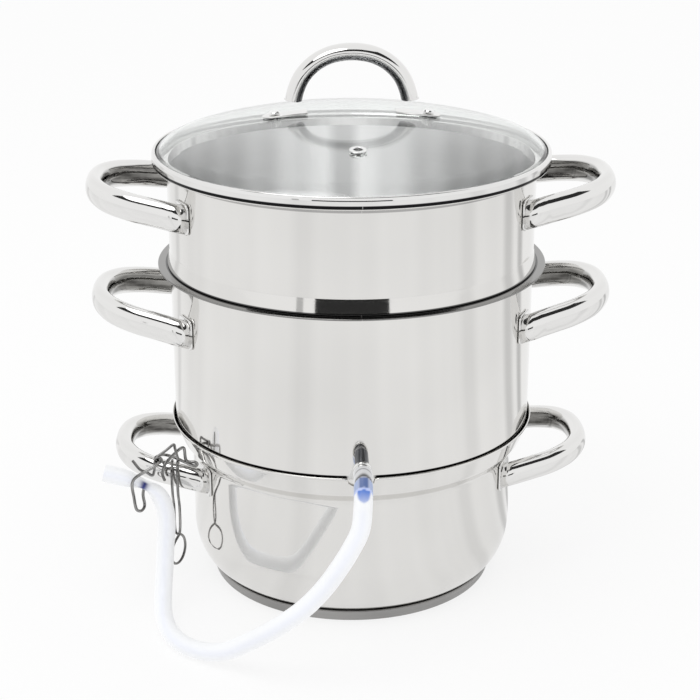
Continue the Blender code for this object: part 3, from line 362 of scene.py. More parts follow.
# Hose clamp and wire hook
# The clamp is one sprung steel wire, dark from drawing: a loop under the hose, a bar over the pan's left
# handle with an ear, and a jaw wound round the pin. The hook is a second wire, hung over the handle.
CLAMP_WIRE_R = 0.0011
JAW_WIRE_R = 0.0010
HOOK_WIRE_R = 0.0010
CLAMP_ROUTE = (
    (-0.15099, -0.06418, 0.09272),
    (-0.15288, -0.06418, 0.08416),
    (-0.15189, -0.06709, 0.07660),
    (-0.15353, -0.07398, 0.07580),
    (-0.15649, -0.08004, 0.07958),
    (-0.15796, -0.08120, 0.09013),
    (-0.15870, -0.08120, 0.10008),
    (-0.15665, -0.08103, 0.10426),
    (-0.14788, -0.07805, 0.10883),
    (-0.14080, -0.07400, 0.11160),
    (-0.14080, -0.06700, 0.11160),
    (-0.14080, -0.06000, 0.11160),
    (-0.13632, -0.04360, 0.10517),
    (-0.13041, -0.04651, 0.10442),
    (-0.11528, -0.04990, 0.09899),
    (-0.11418, -0.04990, 0.10039),
    (-0.11528, -0.04990, 0.10179),
    (-0.12167, -0.04889, 0.10261),
    (-0.12375, -0.05229, 0.11461),
    (-0.13127, -0.05441, 0.10957),
    (-0.13671, -0.05671, 0.10357),
    (-0.13895, -0.05739, 0.09661),
    (-0.13767, -0.05654, 0.09121),
)
JAW_START = (
    (-0.15830, -0.07290, 0.11410),
    (-0.15307, -0.07290, 0.10702),
    (-0.14933, -0.07290, 0.10536),
    (-0.14488, -0.07290, 0.10260),
    (-0.14364, -0.07110, 0.10527),
)
JAW_LEVER = (
    (-0.14080, -0.06490, 0.11400),
    (-0.13525, -0.06265, 0.11730),
    (-0.12970, -0.06040, 0.12060),
    (-0.12910, -0.06033, 0.11785),
    (-0.12730, -0.06040, 0.10960),
)
PIN_PLACE = (-0.14080, -0.06840, 0.11160)
COIL_R = 0.0024
COIL_TURNS = 1.25
COIL_PITCH = 0.0028
HOOK_MIDDLE = (-0.13041, -0.04651, 0.09142)
HOOK_BEND_R = 0.0100
HOOK_LEG_SPACING = 0.0030
HOOK_CROSS_SPACING = 0.0026
HOOK_SHANK_BACK = 0.0020
HOOK_LEG_LINE = ((-0.0100, -0.00513), (-0.0076, -0.01350), (-0.0016, -0.02106), (0.0020, -0.02700))
HOOK_NECK_Z = 0.0425
HOOK_NECK_H = 0.0050
HOOK_EYE_Z = 0.0296
HOOK_EYE_R = 0.0109
HOOK_EYE_TURN = radians(60)
# Greys of the painted shade on the inner face of a polished tube.
INNER_SHADE_DARK = (0.10, 0.098, 0.094)
INNER_SHADE_LIGHT = (0.44, 0.436, 0.425)

grain, given, result = shader_group(
    "drawn grain", {"Vector": None, "Low": 0.1, "High": 0.3}, ("Roughness", "Height", "Shade")
)
lines = grain.nodes.new("ShaderNodeTexNoise")
lines.inputs["Scale"].default_value = 1.0
lines.inputs["Detail"].default_value = 4.0
grain.links.new(given.outputs["Vector"], lines.inputs["Vector"])
grain.links.new(lines.outputs["Fac"], result.inputs["Height"])
rough = grain.nodes.new("ShaderNodeMapRange")
rough.inputs["From Min"].default_value = 0.3
rough.inputs["From Max"].default_value = 0.7
grain.links.new(lines.outputs["Fac"], rough.inputs["Value"])
grain.links.new(given.outputs["Low"], rough.inputs["To Min"])
grain.links.new(given.outputs["High"], rough.inputs["To Max"])
grain.links.new(rough.outputs["Result"], result.inputs["Roughness"])
grain.links.new(ranged(grain.nodes, grain.links, lines.outputs["Fac"], 0.35, 0.65, 0.0, 1.0), result.inputs["Shade"])
DRAWN_GRAIN = grain


# Where round a handle tube the painted shade fades in and out, and its two greys.
INNER_TUBE_SHADE = ((0.085, 0.125), (INNER_SHADE_DARK, INNER_SHADE_LIGHT))


def drawn_finish(name, dark, light, low, high, round_scale, along_scale, bump, inner_at=None, inner=INNER_TUBE_SHADE):
    """Drawn or tube steel: fine lines along the length, from noise on the UV map stretched that way.
    A tube may have its face at one share round it painted dark grey as shade: inner holds the shares either side of it
    where the painted shade begins and ends to fade, and its two greys."""
    made, nodes, links, shader = new_finish(name, light, high, 1.0)
    marks = nodes.new("ShaderNodeUVMap")
    marks.uv_map = "UVMap"
    turned = nodes.new("ShaderNodeMapping")
    turned.inputs["Scale"].default_value = (round_scale, along_scale, 1.0)
    links.new(marks.outputs["UV"], turned.inputs["Vector"])
    drawn = nodes.new("ShaderNodeGroup")
    drawn.node_tree = DRAWN_GRAIN
    drawn.inputs["Low"].default_value = low
    drawn.inputs["High"].default_value = high
    links.new(turned.outputs["Vector"], drawn.inputs["Vector"])
    colour = colour_mix(nodes, links, drawn.outputs["Shade"], dark, light)
    if inner_at is not None:
        apart = nodes.new("ShaderNodeSeparateXYZ")
        links.new(marks.outputs["UV"], apart.inputs["Vector"])
        off = nodes.new("ShaderNodeMath")
        off.operation = "SUBTRACT"
        off.inputs[1].default_value = inner_at
        links.new(apart.outputs["X"], off.inputs[0])
        size = nodes.new("ShaderNodeMath")
        size.operation = "ABSOLUTE"
        links.new(off.outputs["Value"], size.inputs[0])
        shaded_face = ranged(nodes, links, size.outputs["Value"], *inner[0], 1.0, 0.0)
        streaks = colour_mix(nodes, links, drawn.outputs["Shade"], *inner[1])
        mixed = nodes.new("ShaderNodeMix")
        mixed.data_type = "RGBA"
        for socket, source in ((0, shaded_face), (6, colour), (7, streaks)):
            links.new(source, mixed.inputs[socket])
        colour = mixed.outputs[2]
    links.new(colour, shader.inputs["Base Color"])
    links.new(drawn.outputs["Roughness"], shader.inputs["Roughness"])
    if bump:
        raised = nodes.new("ShaderNodeBump")
        raised.inputs["Strength"].default_value = bump
        raised.inputs["Distance"].default_value = 0.0002
        links.new(drawn.outputs["Height"], raised.inputs["Height"])
        links.new(raised.outputs["Normal"], shader.inputs["Normal"])
    return made


def wire_piece(name, line, radius, finish, columns=20):
    """Round wire along a line: the section shrinks to the centre over a rounded tip at both ends."""
    line = np.asarray(line, float)
    tip = np.cos(np.linspace(np.pi / 2, 0.0, 5))
    way_in = (line[0] - line[1]) / np.linalg.norm(line[0] - line[1])
    way_out = (line[-1] - line[-2]) / np.linalg.norm(line[-1] - line[-2])
    bulge = np.sin(np.linspace(np.pi / 2, 0.0, 5))[:, None] * radius * 0.6
    full = np.vstack([line[0] + way_in * bulge, line[1:-1], line[-1] + way_out * bulge[::-1]])
    sizes = np.concatenate([tip, np.ones(len(line) - 2), tip[::-1]]) * radius
    _, side, upper = carried_frames(full)
    grid = section_grid(full, sizes, sizes, side, upper, columns)
    return grid_piece(name, grid, finish, lengths=lengths_along(full))


DARK_WIRE = drawn_finish("dark_wire", (0.075, 0.073, 0.07), (0.42, 0.415, 0.41), 0.10, 0.22, 4.0, 60.0, 0.2)
clamp = wire_piece("clamp_wire", smooth_line(CLAMP_ROUTE, 8), CLAMP_WIRE_R, DARK_WIRE)
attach(clamp, "kettle")
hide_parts("hose_clamp_wire")

coil_turn = np.linspace(0.0, 1.0, 31)
coil_angle = np.pi - 2 * np.pi * COIL_TURNS * coil_turn
coil = np.stack(
    [
        PIN_PLACE[0] + COIL_R * np.cos(coil_angle),
        PIN_PLACE[1] + COIL_PITCH * COIL_TURNS * coil_turn,
        PIN_PLACE[2] + COIL_R * np.sin(coil_angle),
    ],
    axis=1,
)
jaw_line = np.vstack([smooth_line(JAW_START, 6), coil, smooth_line(JAW_LEVER, 6)[1:]])
jaw = wire_piece("clamp_jaw", jaw_line, JAW_WIRE_R, DARK_WIRE)
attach(jaw, "hose_clamp_jaw")
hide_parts("hose_clamp_jaw")

across, aside = HOOK_LEG_SPACING / 2, HOOK_CROSS_SPACING / 2
leg_x = np.hypot(across, aside)
bend = np.linspace(0.0, np.pi, 9)
round_bend = np.stack([np.full(9, leg_x), HOOK_BEND_R * np.cos(bend), HOOK_BEND_R * np.sin(bend)], axis=1)
leg = np.vstack([(leg_x, HOOK_BEND_R, -0.0010), round_bend, [(leg_x, *place) for place in HOOK_LEG_LINE]])
eye_turn = np.radians(np.linspace(125.0, 415.0, 13))
eye_lean = -aside * np.cos(np.linspace(0.0, np.pi, 13))
eye_z = HOOK_EYE_Z - HOOK_MIDDLE[2]
neck = HOOK_NECK_Z - HOOK_MIDDLE[2]
eye = np.vstack(
    [
        [(across, -aside, neck + HOOK_NECK_H), (0.0, -aside, neck)],
        np.stack([HOOK_EYE_R * np.cos(eye_turn), eye_lean, eye_z + HOOK_EYE_R * np.sin(eye_turn)], axis=1),
        [(0.0, aside, neck), (-across, aside, neck + HOOK_NECK_H)],
    ]
)
turn_cos, turn_sin = np.cos(HOOK_EYE_TURN), np.sin(HOOK_EYE_TURN)
eye = eye @ np.array([(turn_cos, turn_sin, 0.0), (-turn_sin, turn_cos, 0.0), (0.0, 0.0, 1.0)])
hook_line = np.vstack([leg, eye + (0.0, HOOK_SHANK_BACK, 0.0), leg[::-1] * (-1, 1, 1)]) + HOOK_MIDDLE
hook = wire_piece("hanging_hook", smooth_line(hook_line, 4), HOOK_WIRE_R, DARK_WIRE)
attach(hook, "wire_hook")
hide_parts("wire_hook")

# Base disc
# A thick aluminium disc bonded under the water pan spreads the heat. Its rim is turned on a lathe,
# tapers towards the worktop and stays matt.
BASE_R = 0.1070
BASE_LOW_R = 0.1045
BASE_H = 0.0072
BASE_EDGE = ((0.0990, 0.0072), (0.1062, 0.0086), (0.1070, 0.0080))
# Colour of the painted shade at the seams where parts meet.
SEAM_PAINTED_SHADE = (0.012, 0.012, 0.013)

turned_grain, given, result = shader_group(
    "turned grain",
    {"Vector": None, "Lines": 900.0, "Low": 0.05, "High": 0.12},
    ("Roughness", "Height", "Haze"),
)
nodes, links = turned_grain.nodes, turned_grain.links
flat = nodes.new("ShaderNodeVectorMath")
flat.operation = "MULTIPLY"
flat.inputs[1].default_value = (1.0, 1.0, 0.0)
links.new(given.outputs["Vector"], flat.inputs[0])
reach = nodes.new("ShaderNodeVectorMath")
reach.operation = "LENGTH"
links.new(flat.outputs["Vector"], reach.inputs[0])
apart = nodes.new("ShaderNodeSeparateXYZ")
links.new(given.outputs["Vector"], apart.inputs["Vector"])
climb = nodes.new("ShaderNodeMath")
climb.operation = "ADD"
links.new(reach.outputs["Value"], climb.inputs[0])
links.new(apart.outputs["Z"], climb.inputs[1])
count = nodes.new("ShaderNodeMath")
count.operation = "MULTIPLY"
links.new(climb.outputs["Value"], count.inputs[0])
links.new(given.outputs["Lines"], count.inputs[1])
slow = nodes.new("ShaderNodeVectorMath")
slow.operation = "MULTIPLY"
slow.inputs[1].default_value = (7.0, 7.0, 0.0)
links.new(given.outputs["Vector"], slow.inputs[0])
lifted = nodes.new("ShaderNodeCombineXYZ")
links.new(count.outputs["Value"], lifted.inputs["Z"])
joined = nodes.new("ShaderNodeVectorMath")
joined.operation = "ADD"
links.new(slow.outputs["Vector"], joined.inputs[0])
links.new(lifted.outputs["Vector"], joined.inputs[1])
turned_lines = nodes.new("ShaderNodeTexNoise")
turned_lines.inputs["Scale"].default_value = 1.0
turned_lines.inputs["Detail"].default_value = 3.0
links.new(joined.outputs["Vector"], turned_lines.inputs["Vector"])
links.new(turned_lines.outputs["Fac"], result.inputs["Height"])
spread = nodes.new("ShaderNodeMapRange")
spread.inputs["From Min"].default_value = 0.3
spread.inputs["From Max"].default_value = 0.7
links.new(turned_lines.outputs["Fac"], spread.inputs["Value"])
links.new(given.outputs["Low"], spread.inputs["To Min"])
links.new(given.outputs["High"], spread.inputs["To Max"])
links.new(spread.outputs["Result"], result.inputs["Roughness"])
smudge = nodes.new("ShaderNodeTexNoise")
smudge.inputs["Scale"].default_value = 11.0
smudge.inputs["Detail"].default_value = 2.0
links.new(given.outputs["Vector"], smudge.inputs["Vector"])
links.new(ranged(nodes, links, smudge.outputs["Fac"], 0.35, 0.7, 0.0, 1.0), result.inputs["Haze"])


seam_shade, given, result = shader_group(
    "seam shade",
    {"Vector": None, "Radius": 0.13, "Height": 0.2, "Wide": 0.001, "High": 0.001, "Weight": 1.0, "Open": 0.0001},
    ("Shade",),
)
nodes, links = seam_shade.nodes, seam_shade.links
flat = nodes.new("ShaderNodeVectorMath")
flat.operation = "MULTIPLY"
flat.inputs[1].default_value = (1.0, 1.0, 0.0)
links.new(given.outputs["Vector"], flat.inputs[0])
reach = nodes.new("ShaderNodeVectorMath")
reach.operation = "LENGTH"
links.new(flat.outputs["Vector"], reach.inputs[0])
apart = nodes.new("ShaderNodeSeparateXYZ")
links.new(given.outputs["Vector"], apart.inputs["Vector"])
off_ring = nodes.new("ShaderNodeCombineXYZ")
for way, value, middle, half in (
    ("X", reach.outputs["Value"], "Radius", "Wide"),
    ("Y", apart.outputs["Z"], "Height", "High"),
):
    gap = nodes.new("ShaderNodeMath")
    gap.operation = "SUBTRACT"
    links.new(value, gap.inputs[0])
    links.new(given.outputs[middle], gap.inputs[1])
    share = nodes.new("ShaderNodeMath")
    share.operation = "DIVIDE"
    links.new(gap.outputs["Value"], share.inputs[0])
    links.new(given.outputs[half], share.inputs[1])
    links.new(share.outputs["Value"], off_ring.inputs[way])
off = nodes.new("ShaderNodeVectorMath")
off.operation = "LENGTH"
links.new(off_ring.outputs["Vector"], off.inputs[0])
weighed = nodes.new("ShaderNodeMath")
weighed.operation = "MULTIPLY"
links.new(ranged(nodes, links, off.outputs["Value"], 0.85, 1.25, 1.0, 0.0), weighed.inputs[0])
links.new(given.outputs["Weight"], weighed.inputs[1])
sideways = nodes.new("ShaderNodeMath")
sideways.operation = "ABSOLUTE"
links.new(apart.outputs["X"], sideways.inputs[0])
past = nodes.new("ShaderNodeMath")
past.operation = "DIVIDE"
links.new(sideways.outputs["Value"], past.inputs[0])
links.new(given.outputs["Open"], past.inputs[1])
behind = nodes.new("ShaderNodeMath")
behind.operation = "GREATER_THAN"
behind.inputs[1].default_value = 0.0
links.new(apart.outputs["Y"], behind.inputs[0])
shut = nodes.new("ShaderNodeMath")
shut.operation = "MAXIMUM"
links.new(ranged(nodes, links, past.outputs["Value"], 0.85, 1.1, 0.0, 1.0), shut.inputs[0])
links.new(behind.outputs["Value"], shut.inputs[1])
left_out = nodes.new("ShaderNodeMath")
left_out.operation = "MULTIPLY"
links.new(weighed.outputs["Value"], left_out.inputs[0])
links.new(shut.outputs["Value"], left_out.inputs[1])
links.new(left_out.outputs["Value"], result.inputs["Shade"])


def shaded_seams(nodes, links, vector, colour, seams):
    """The colour darkened near rings round the stack's axis, each a (radius, height, half width, half
    height, weight, half width of an opening in front), where two pots meet and little light gets in."""
    for seam in seams:
        ring = nodes.new("ShaderNodeGroup")
        ring.node_tree = seam_shade
        for socket, value in zip(("Radius", "Height", "Wide", "High", "Weight", "Open"), seam):
            ring.inputs[socket].default_value = value
        links.new(vector, ring.inputs["Vector"])
        colour = colour_mix(nodes, links, ring.outputs["Shade"], colour, SEAM_PAINTED_SHADE)
    return colour


def turned_finish(name, clean, hazed, low, high, line_count, bump, seams=()):
    """Steel or alloy finished on a lathe: lines round the stack's axis, a faint uneven haze, and painted shade at the
    seams where two pots meet."""
    made, nodes, links, shader = new_finish(name, clean, low, 1.0)
    place = nodes.new("ShaderNodeTexCoord")
    turned = nodes.new("ShaderNodeGroup")
    turned.node_tree = turned_grain
    turned.inputs["Lines"].default_value = line_count
    turned.inputs["Low"].default_value = low
    turned.inputs["High"].default_value = high
    links.new(place.outputs["Object"], turned.inputs["Vector"])
    colour = colour_mix(nodes, links, turned.outputs["Haze"], clean, hazed)
    links.new(shaded_seams(nodes, links, place.outputs["Object"], colour, seams), shader.inputs["Base Color"])
    links.new(turned.outputs["Roughness"], shader.inputs["Roughness"])
    if bump:
        raised = nodes.new("ShaderNodeBump")
        raised.inputs["Strength"].default_value = bump
        raised.inputs["Distance"].default_value = 0.0002
        links.new(turned.outputs["Height"], raised.inputs["Height"])
        links.new(raised.outputs["Normal"], shader.inputs["Normal"])
    return made


def rounded(corners, radius, steps=7, ring=False):
    """Profile of (radius, height) corners with each corner made round: a quadratic curve leaves one
    side and joins the next at the given distance from the corner. Points where it is zero are kept.
    Long straight stretches get extra points near their ends and at even steps between."""
    corners = np.array(corners, float)
    radius = np.broadcast_to(radius, len(corners)).astype(float).copy()
    before, after = np.roll(corners, 1, axis=0), np.roll(corners, -1, axis=0)
    if not ring:
        radius[0] = radius[-1] = 0.0
    back, ahead = before - corners, after - corners
    back_l = np.linalg.norm(back, axis=1)
    ahead_l = np.linalg.norm(ahead, axis=1)
    cut = np.minimum(radius, 0.45 * np.minimum(back_l, ahead_l))
    start = corners + back * (cut / back_l)[:, None]
    end = corners + ahead * (cut / ahead_l)[:, None]
    s = np.linspace(0.0, 1.0, steps)[None, :, None]
    bent = (1 - s) ** 2 * start[:, None] + 2 * s * (1 - s) * corners[:, None] + s**2 * end[:, None]
    line = bent.reshape(-1, 2)
    if ring:
        line = np.vstack([line, line[:1]])
    far = lengths_along(line)
    keep = np.concatenate([[True], np.diff(far) > 1e-7])
    line, far = line[keep], far[keep]
    long = np.diff(far) > 0.0015
    near = np.concatenate([far[:-1][long] + 0.0004, far[1:][long] - 0.0004])
    even = np.arange(0.0, far[-1], 0.006)
    gap = np.abs(even[:, None] - np.concatenate([far, near])[None, :]).min(axis=1)
    places = np.sort(np.concatenate([far, near, even[gap > 0.001]]))
    made = np.stack([np.interp(places, far, line[:, 0]), np.interp(places, far, line[:, 1])], axis=1)
    return made[:-1] if ring else made


def turned_piece(name, profile, finish, ring=False, columns=256, turns=None):
    """Surface of revolution: each profile point of (radius, height) goes round the Z axis, so x is the
    radius times the cosine of the turn, y the radius times its sine, and z the height."""
    profile = np.asarray(profile, float)
    if turns is None:
        turns = np.linspace(0.0, 2 * np.pi, columns, endpoint=False)
    r, z = profile[:, :1], profile[:, 1:]
    grid = np.stack([r * np.cos(turns), r * np.sin(turns), z + 0 * turns], axis=-1)
    far = lengths_along(profile)
    return grid_piece(name, grid, finish, wrap_rows=ring, lengths=far)


BASE_ALLOY = turned_finish("base_alloy", (0.38, 0.375, 0.368), (0.28, 0.276, 0.27), 0.32, 0.5, 1400.0, 0.5)
base = turned_piece(
    "heat_disc",
    rounded([(0.0, BASE_H), *BASE_EDGE, (BASE_LOW_R, 0.0), (0.0, 0.0)], [0, 0.002, 0.0004, 0.0004, 0.0009, 0]),
    BASE_ALLOY,
)
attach(base, "pan")
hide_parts("pan_base_disc")

# Water pan
# Deep-drawn stainless steel, mirror polished outside and brushed inside. The wall steps out over a
# shoulder into a conical collar that takes the kettle, with a small notch under the outlet.
SHEET = 0.0008
PAN_R = 0.1190
PAN_FLOOR_Z = 0.0075
PAN_CORNER_WIDE = 0.0200
PAN_CORNER_HIGH = 0.0335
PAN_SHOULDER_Z = 0.1000
PAN_CREASE = (0.1266, 0.1086)
PAN_COLLAR = (0.1326, 0.1232)
PAN_LIP = 0.0012
NOTCH_W = 0.0190
NOTCH_DEPTH = 0.0075
NOTCH_FOOT_Z = 0.1120
# Rings of painted shade in the polished steel: on the kettle's wall just above the pan's lip, left open at the notch;
# on the kettle's flange beside the basket's skirt, and lighter over the rest of that flange; on the basket's flange
# edge; and faintly on the basket wall just under its flange.
POT_SEAM_SHADES = (
    (0.13073, 0.1246, 0.0007, 0.0009, 1.0, 0.0095),
    (0.13290, 0.2404, 0.0011, 0.0012, 0.9),
    (0.13760, 0.2400, 0.0046, 0.0012, 0.66),
    (0.14020, 0.3146, 0.0016, 0.0006, 1.0),
    (0.13103, 0.3100, 0.0007, 0.0009, 0.45),
)
# Painted highlights and shade for the inside of the pots: fans round the axis from light to dark, a narrow fan of
# painted shade at the back, and a painted glow on the lightest fans.
BRUSHED_LIGHT = (1.0, 1.0, 1.0)
BRUSHED_DARK = (0.10, 0.105, 0.108)
BRUSHED_GLOW = 0.26
BRUSHED_HIGHLIGHT_FANS = ((2.0, 0.0, 0.46), (27.0, 180.0, 0.05))
BRUSHED_SHADE_NOTCH = (2.0, 7.5, 0.66)


def brushed_finish():
    """Steel brushed on a lathe: fine lines round the axis, and painted highlights and painted shade in fans such as
    those lines throw, from cosines of whole counts times the turn round the axis, and a narrow fan of painted shade at
    the back. The lightest fans have a painted glow for the light that the walls pass to one another."""
    made, nodes, links, shader = new_finish("brushed_steel", BRUSHED_LIGHT, 0.3, 0.5)
    place = nodes.new("ShaderNodeTexCoord")
    turned = nodes.new("ShaderNodeGroup")
    turned.node_tree = turned_grain
    for socket, value in (("Lines", 2400.0), ("Low", 0.28), ("High", 0.34)):
        turned.inputs[socket].default_value = value
    links.new(place.outputs["Object"], turned.inputs["Vector"])
    apart = nodes.new("ShaderNodeSeparateXYZ")
    links.new(place.outputs["Object"], apart.inputs["Vector"])
    turn = nodes.new("ShaderNodeMath")
    turn.operation = "ARCTAN2"
    links.new(apart.outputs["X"], turn.inputs[0])
    links.new(apart.outputs["Y"], turn.inputs[1])
    total = None
    for count, late, weight in BRUSHED_HIGHLIGHT_FANS:
        wave = nodes.new("ShaderNodeMath")
        wave.operation = "MULTIPLY_ADD"
        wave.inputs[1].default_value = count
        wave.inputs[2].default_value = -radians(late)
        links.new(turn.outputs["Value"], wave.inputs[0])
        level = nodes.new("ShaderNodeMath")
        level.operation = "COSINE"
        links.new(wave.outputs["Value"], level.inputs[0])
        share = nodes.new("ShaderNodeMath")
        share.operation = "MULTIPLY_ADD"
        share.inputs[1].default_value = weight
        share.inputs[2].default_value = 0.58
        links.new(level.outputs["Value"], share.inputs[0])
        if total is not None:
            share.inputs[2].default_value = 0.0
            joined = nodes.new("ShaderNodeMath")
            joined.operation = "ADD"
            links.new(total, joined.inputs[0])
            links.new(share.outputs["Value"], joined.inputs[1])
            total = joined.outputs["Value"]
        else:
            total = share.outputs["Value"]
    size = nodes.new("ShaderNodeMath")
    size.operation = "ABSOLUTE"
    links.new(turn.outputs["Value"], size.inputs[0])
    near, past, dip = BRUSHED_SHADE_NOTCH
    notch = nodes.new("ShaderNodeMath")
    notch.operation = "MULTIPLY"
    links.new(total, notch.inputs[0])
    links.new(ranged(nodes, links, size.outputs["Value"], radians(near), radians(past), dip, 1.0), notch.inputs[1])
    total = notch.outputs["Value"]
    fan = colour_mix(nodes, links, total, BRUSHED_DARK, BRUSHED_LIGHT)
    lined = nodes.new("ShaderNodeVectorMath")
    lined.operation = "SCALE"
    links.new(fan, lined.inputs[0])
    links.new(ranged(nodes, links, turned.outputs["Height"], 0.3, 0.7, 0.965, 1.02), lined.inputs["Scale"])
    links.new(lined.outputs["Vector"], shader.inputs["Base Color"])
    passed_on = nodes.new("ShaderNodeVectorMath")
    passed_on.operation = "SCALE"
    links.new(lined.outputs["Vector"], passed_on.inputs[0])
    links.new(ranged(nodes, links, total, 0.5, 1.0, 0.0, BRUSHED_GLOW), passed_on.inputs["Scale"])
    links.new(passed_on.outputs["Vector"], shader.inputs["Emission Color"])
    shader.inputs["Emission Strength"].default_value = 1.0
    links.new(turned.outputs["Roughness"], shader.inputs["Roughness"])
    return made


POLISHED = turned_finish(
    "polished_steel", (0.775, 0.766, 0.748), (0.735, 0.727, 0.71), 0.045, 0.085, 700.0, 0.0, POT_SEAM_SHADES
)
BRUSHED = brushed_finish()


def oval_corner(centre, wide, high, start, end, count=20):
    """Quarter of an ellipse: the centre plus the half width times a cosine and the half height times
    a sine, for angles in degrees from +R towards +Z."""
    turn = np.radians(np.linspace(start, end, count))
    return np.stack([centre[0] + wide * np.cos(turn), centre[1] + high * np.sin(turn)], axis=1)


def mark_inside(piece, finish, outside_r):
    """Gives the brushed finish to the faces that look at the pot's axis or up from its floor."""
    mesh = piece.data
    normal = np.empty(len(mesh.polygons) * 3, np.float32)
    centre = np.empty(len(mesh.polygons) * 3, np.float32)
    mesh.polygons.foreach_get("normal", normal)
    mesh.polygons.foreach_get("center", centre)
    normal, centre = normal.reshape(-1, 3), centre.reshape(-1, 3)
    far = np.linalg.norm(centre[:, :2], axis=1)
    inward = (normal[:, :2] * centre[:, :2]).sum(axis=1) / np.maximum(far, 1e-6)
    inside = ((inward < -0.3) | (normal[:, 2] > 0.6)) & (far < outside_r)
    mesh.materials.append(finish)
    mesh.polygons.foreach_set("material_index", inside.astype(np.int32))


corner = (PAN_R - PAN_CORNER_WIDE, PAN_FLOOR_Z + PAN_CORNER_HIGH)
lean = SHEET / np.cos(np.arctan2(PAN_COLLAR[0] - PAN_CREASE[0], PAN_COLLAR[1] - PAN_CREASE[1]))
pan_inner = oval_corner(corner, PAN_CORNER_WIDE - SHEET, PAN_CORNER_HIGH - SHEET, -90, 0)
pan_outer = oval_corner(corner, PAN_CORNER_WIDE, PAN_CORNER_HIGH, 0, -90)
pan_corners = np.vstack(
    [
        (0.0, PAN_FLOOR_Z + SHEET),
        pan_inner,
        (PAN_R - SHEET, PAN_SHOULDER_Z + SHEET / 2),
        (PAN_CREASE[0] - lean, PAN_CREASE[1] - SHEET / 2),
        (PAN_COLLAR[0] - lean, PAN_COLLAR[1]),
        (PAN_COLLAR[0], PAN_COLLAR[1] + PAN_LIP),
        (PAN_COLLAR[0] + PAN_LIP / 2, PAN_COLLAR[1] + PAN_LIP * 0.75),
        (PAN_COLLAR[0] + PAN_LIP / 2, PAN_COLLAR[1] - PAN_LIP / 4),
        (PAN_COLLAR[0], PAN_COLLAR[1] - PAN_LIP / 2),
        PAN_CREASE,
        (PAN_R, PAN_SHOULDER_Z),
        pan_outer,
        (0.0, PAN_FLOOR_Z),
    ]
)
pan_radii = np.zeros(len(pan_corners))
pan_radii[21:25] = (0.0040, 0.0016, 0.0006, 0.0004)
pan_radii[25:30] = (0.0004, 0.0004, 0.0004, 0.0016, 0.0040)
pan_profile = rounded(pan_corners, pan_radii)
turns = np.linspace(0.0, 2 * np.pi, 256, endpoint=False)
fine = np.linspace(-0.5, 0.5, 65) * 2.0 * NOTCH_W / PAN_COLLAR[0] - np.pi / 2
turns = np.unique(np.round(np.concatenate([turns, np.mod(fine, 2 * np.pi)]), 6))
r, z = pan_profile[:, :1], pan_profile[:, 1:]
across = np.abs((turns + np.pi / 2 + np.pi) % (2 * np.pi) - np.pi) * PAN_COLLAR[0]
half = NOTCH_W / 2
depth = NOTCH_DEPTH * np.clip(1 - (across / half) ** 3.2, 0.0, 1.0) ** 0.55
depth = depth + 0.0006 * np.exp(-(((across - half) / 0.0016) ** 2))
lip_z = PAN_COLLAR[1] + PAN_LIP
share = np.clip((z - NOTCH_FOOT_Z) / (lip_z - NOTCH_FOOT_Z), 0.0, 1.0)
slope = (PAN_COLLAR[0] - PAN_CREASE[0]) / (PAN_COLLAR[1] - PAN_CREASE[1])
drop = share * depth[None, :]
pan_grid = np.stack([(r - drop * slope) * np.cos(turns), (r - drop * slope) * np.sin(turns), z - drop], axis=-1)
pan = grid_piece("water_pan", pan_grid, POLISHED, lengths=lengths_along(pan_profile))
mark_inside(pan, BRUSHED, PAN_CREASE[0])
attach(pan, "pan")
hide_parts("pan_shell")

# Side handles and their pads
# Each handle is a bent oval steel tube, mirror polished and spot welded over two small pads that are
# pressed to the round of the wall. All three pots carry a pair, the lowest pair a little narrower.
HANDLE_ROOT = 0.0060
HANDLE_OUT = 0.0505
HANDLE_W = 0.0136
HANDLE_REACH_SHARES = (0.0, 0.14, 0.30, 0.545, 0.80, 0.94, 0.985, 1.0)
PAD_W = 0.0210
PAD_H = 0.0220
PAD_T = 0.0013
PAD_CORNER = 0.0040
PAD_GAP = 0.0003
TUBE_STEEL = drawn_finish("tube_steel", (0.775, 0.77, 0.76), (0.80, 0.795, 0.785), 0.04, 0.09, 14.0, 30.0, 0.0)
# The grips carry painted shade on the inner face of the loop, half way round their section.
GRIP_STEEL = drawn_finish("grip_steel", (0.775, 0.77, 0.76), (0.80, 0.795, 0.785), 0.04, 0.09, 14.0, 30.0, 0.0, 0.5)


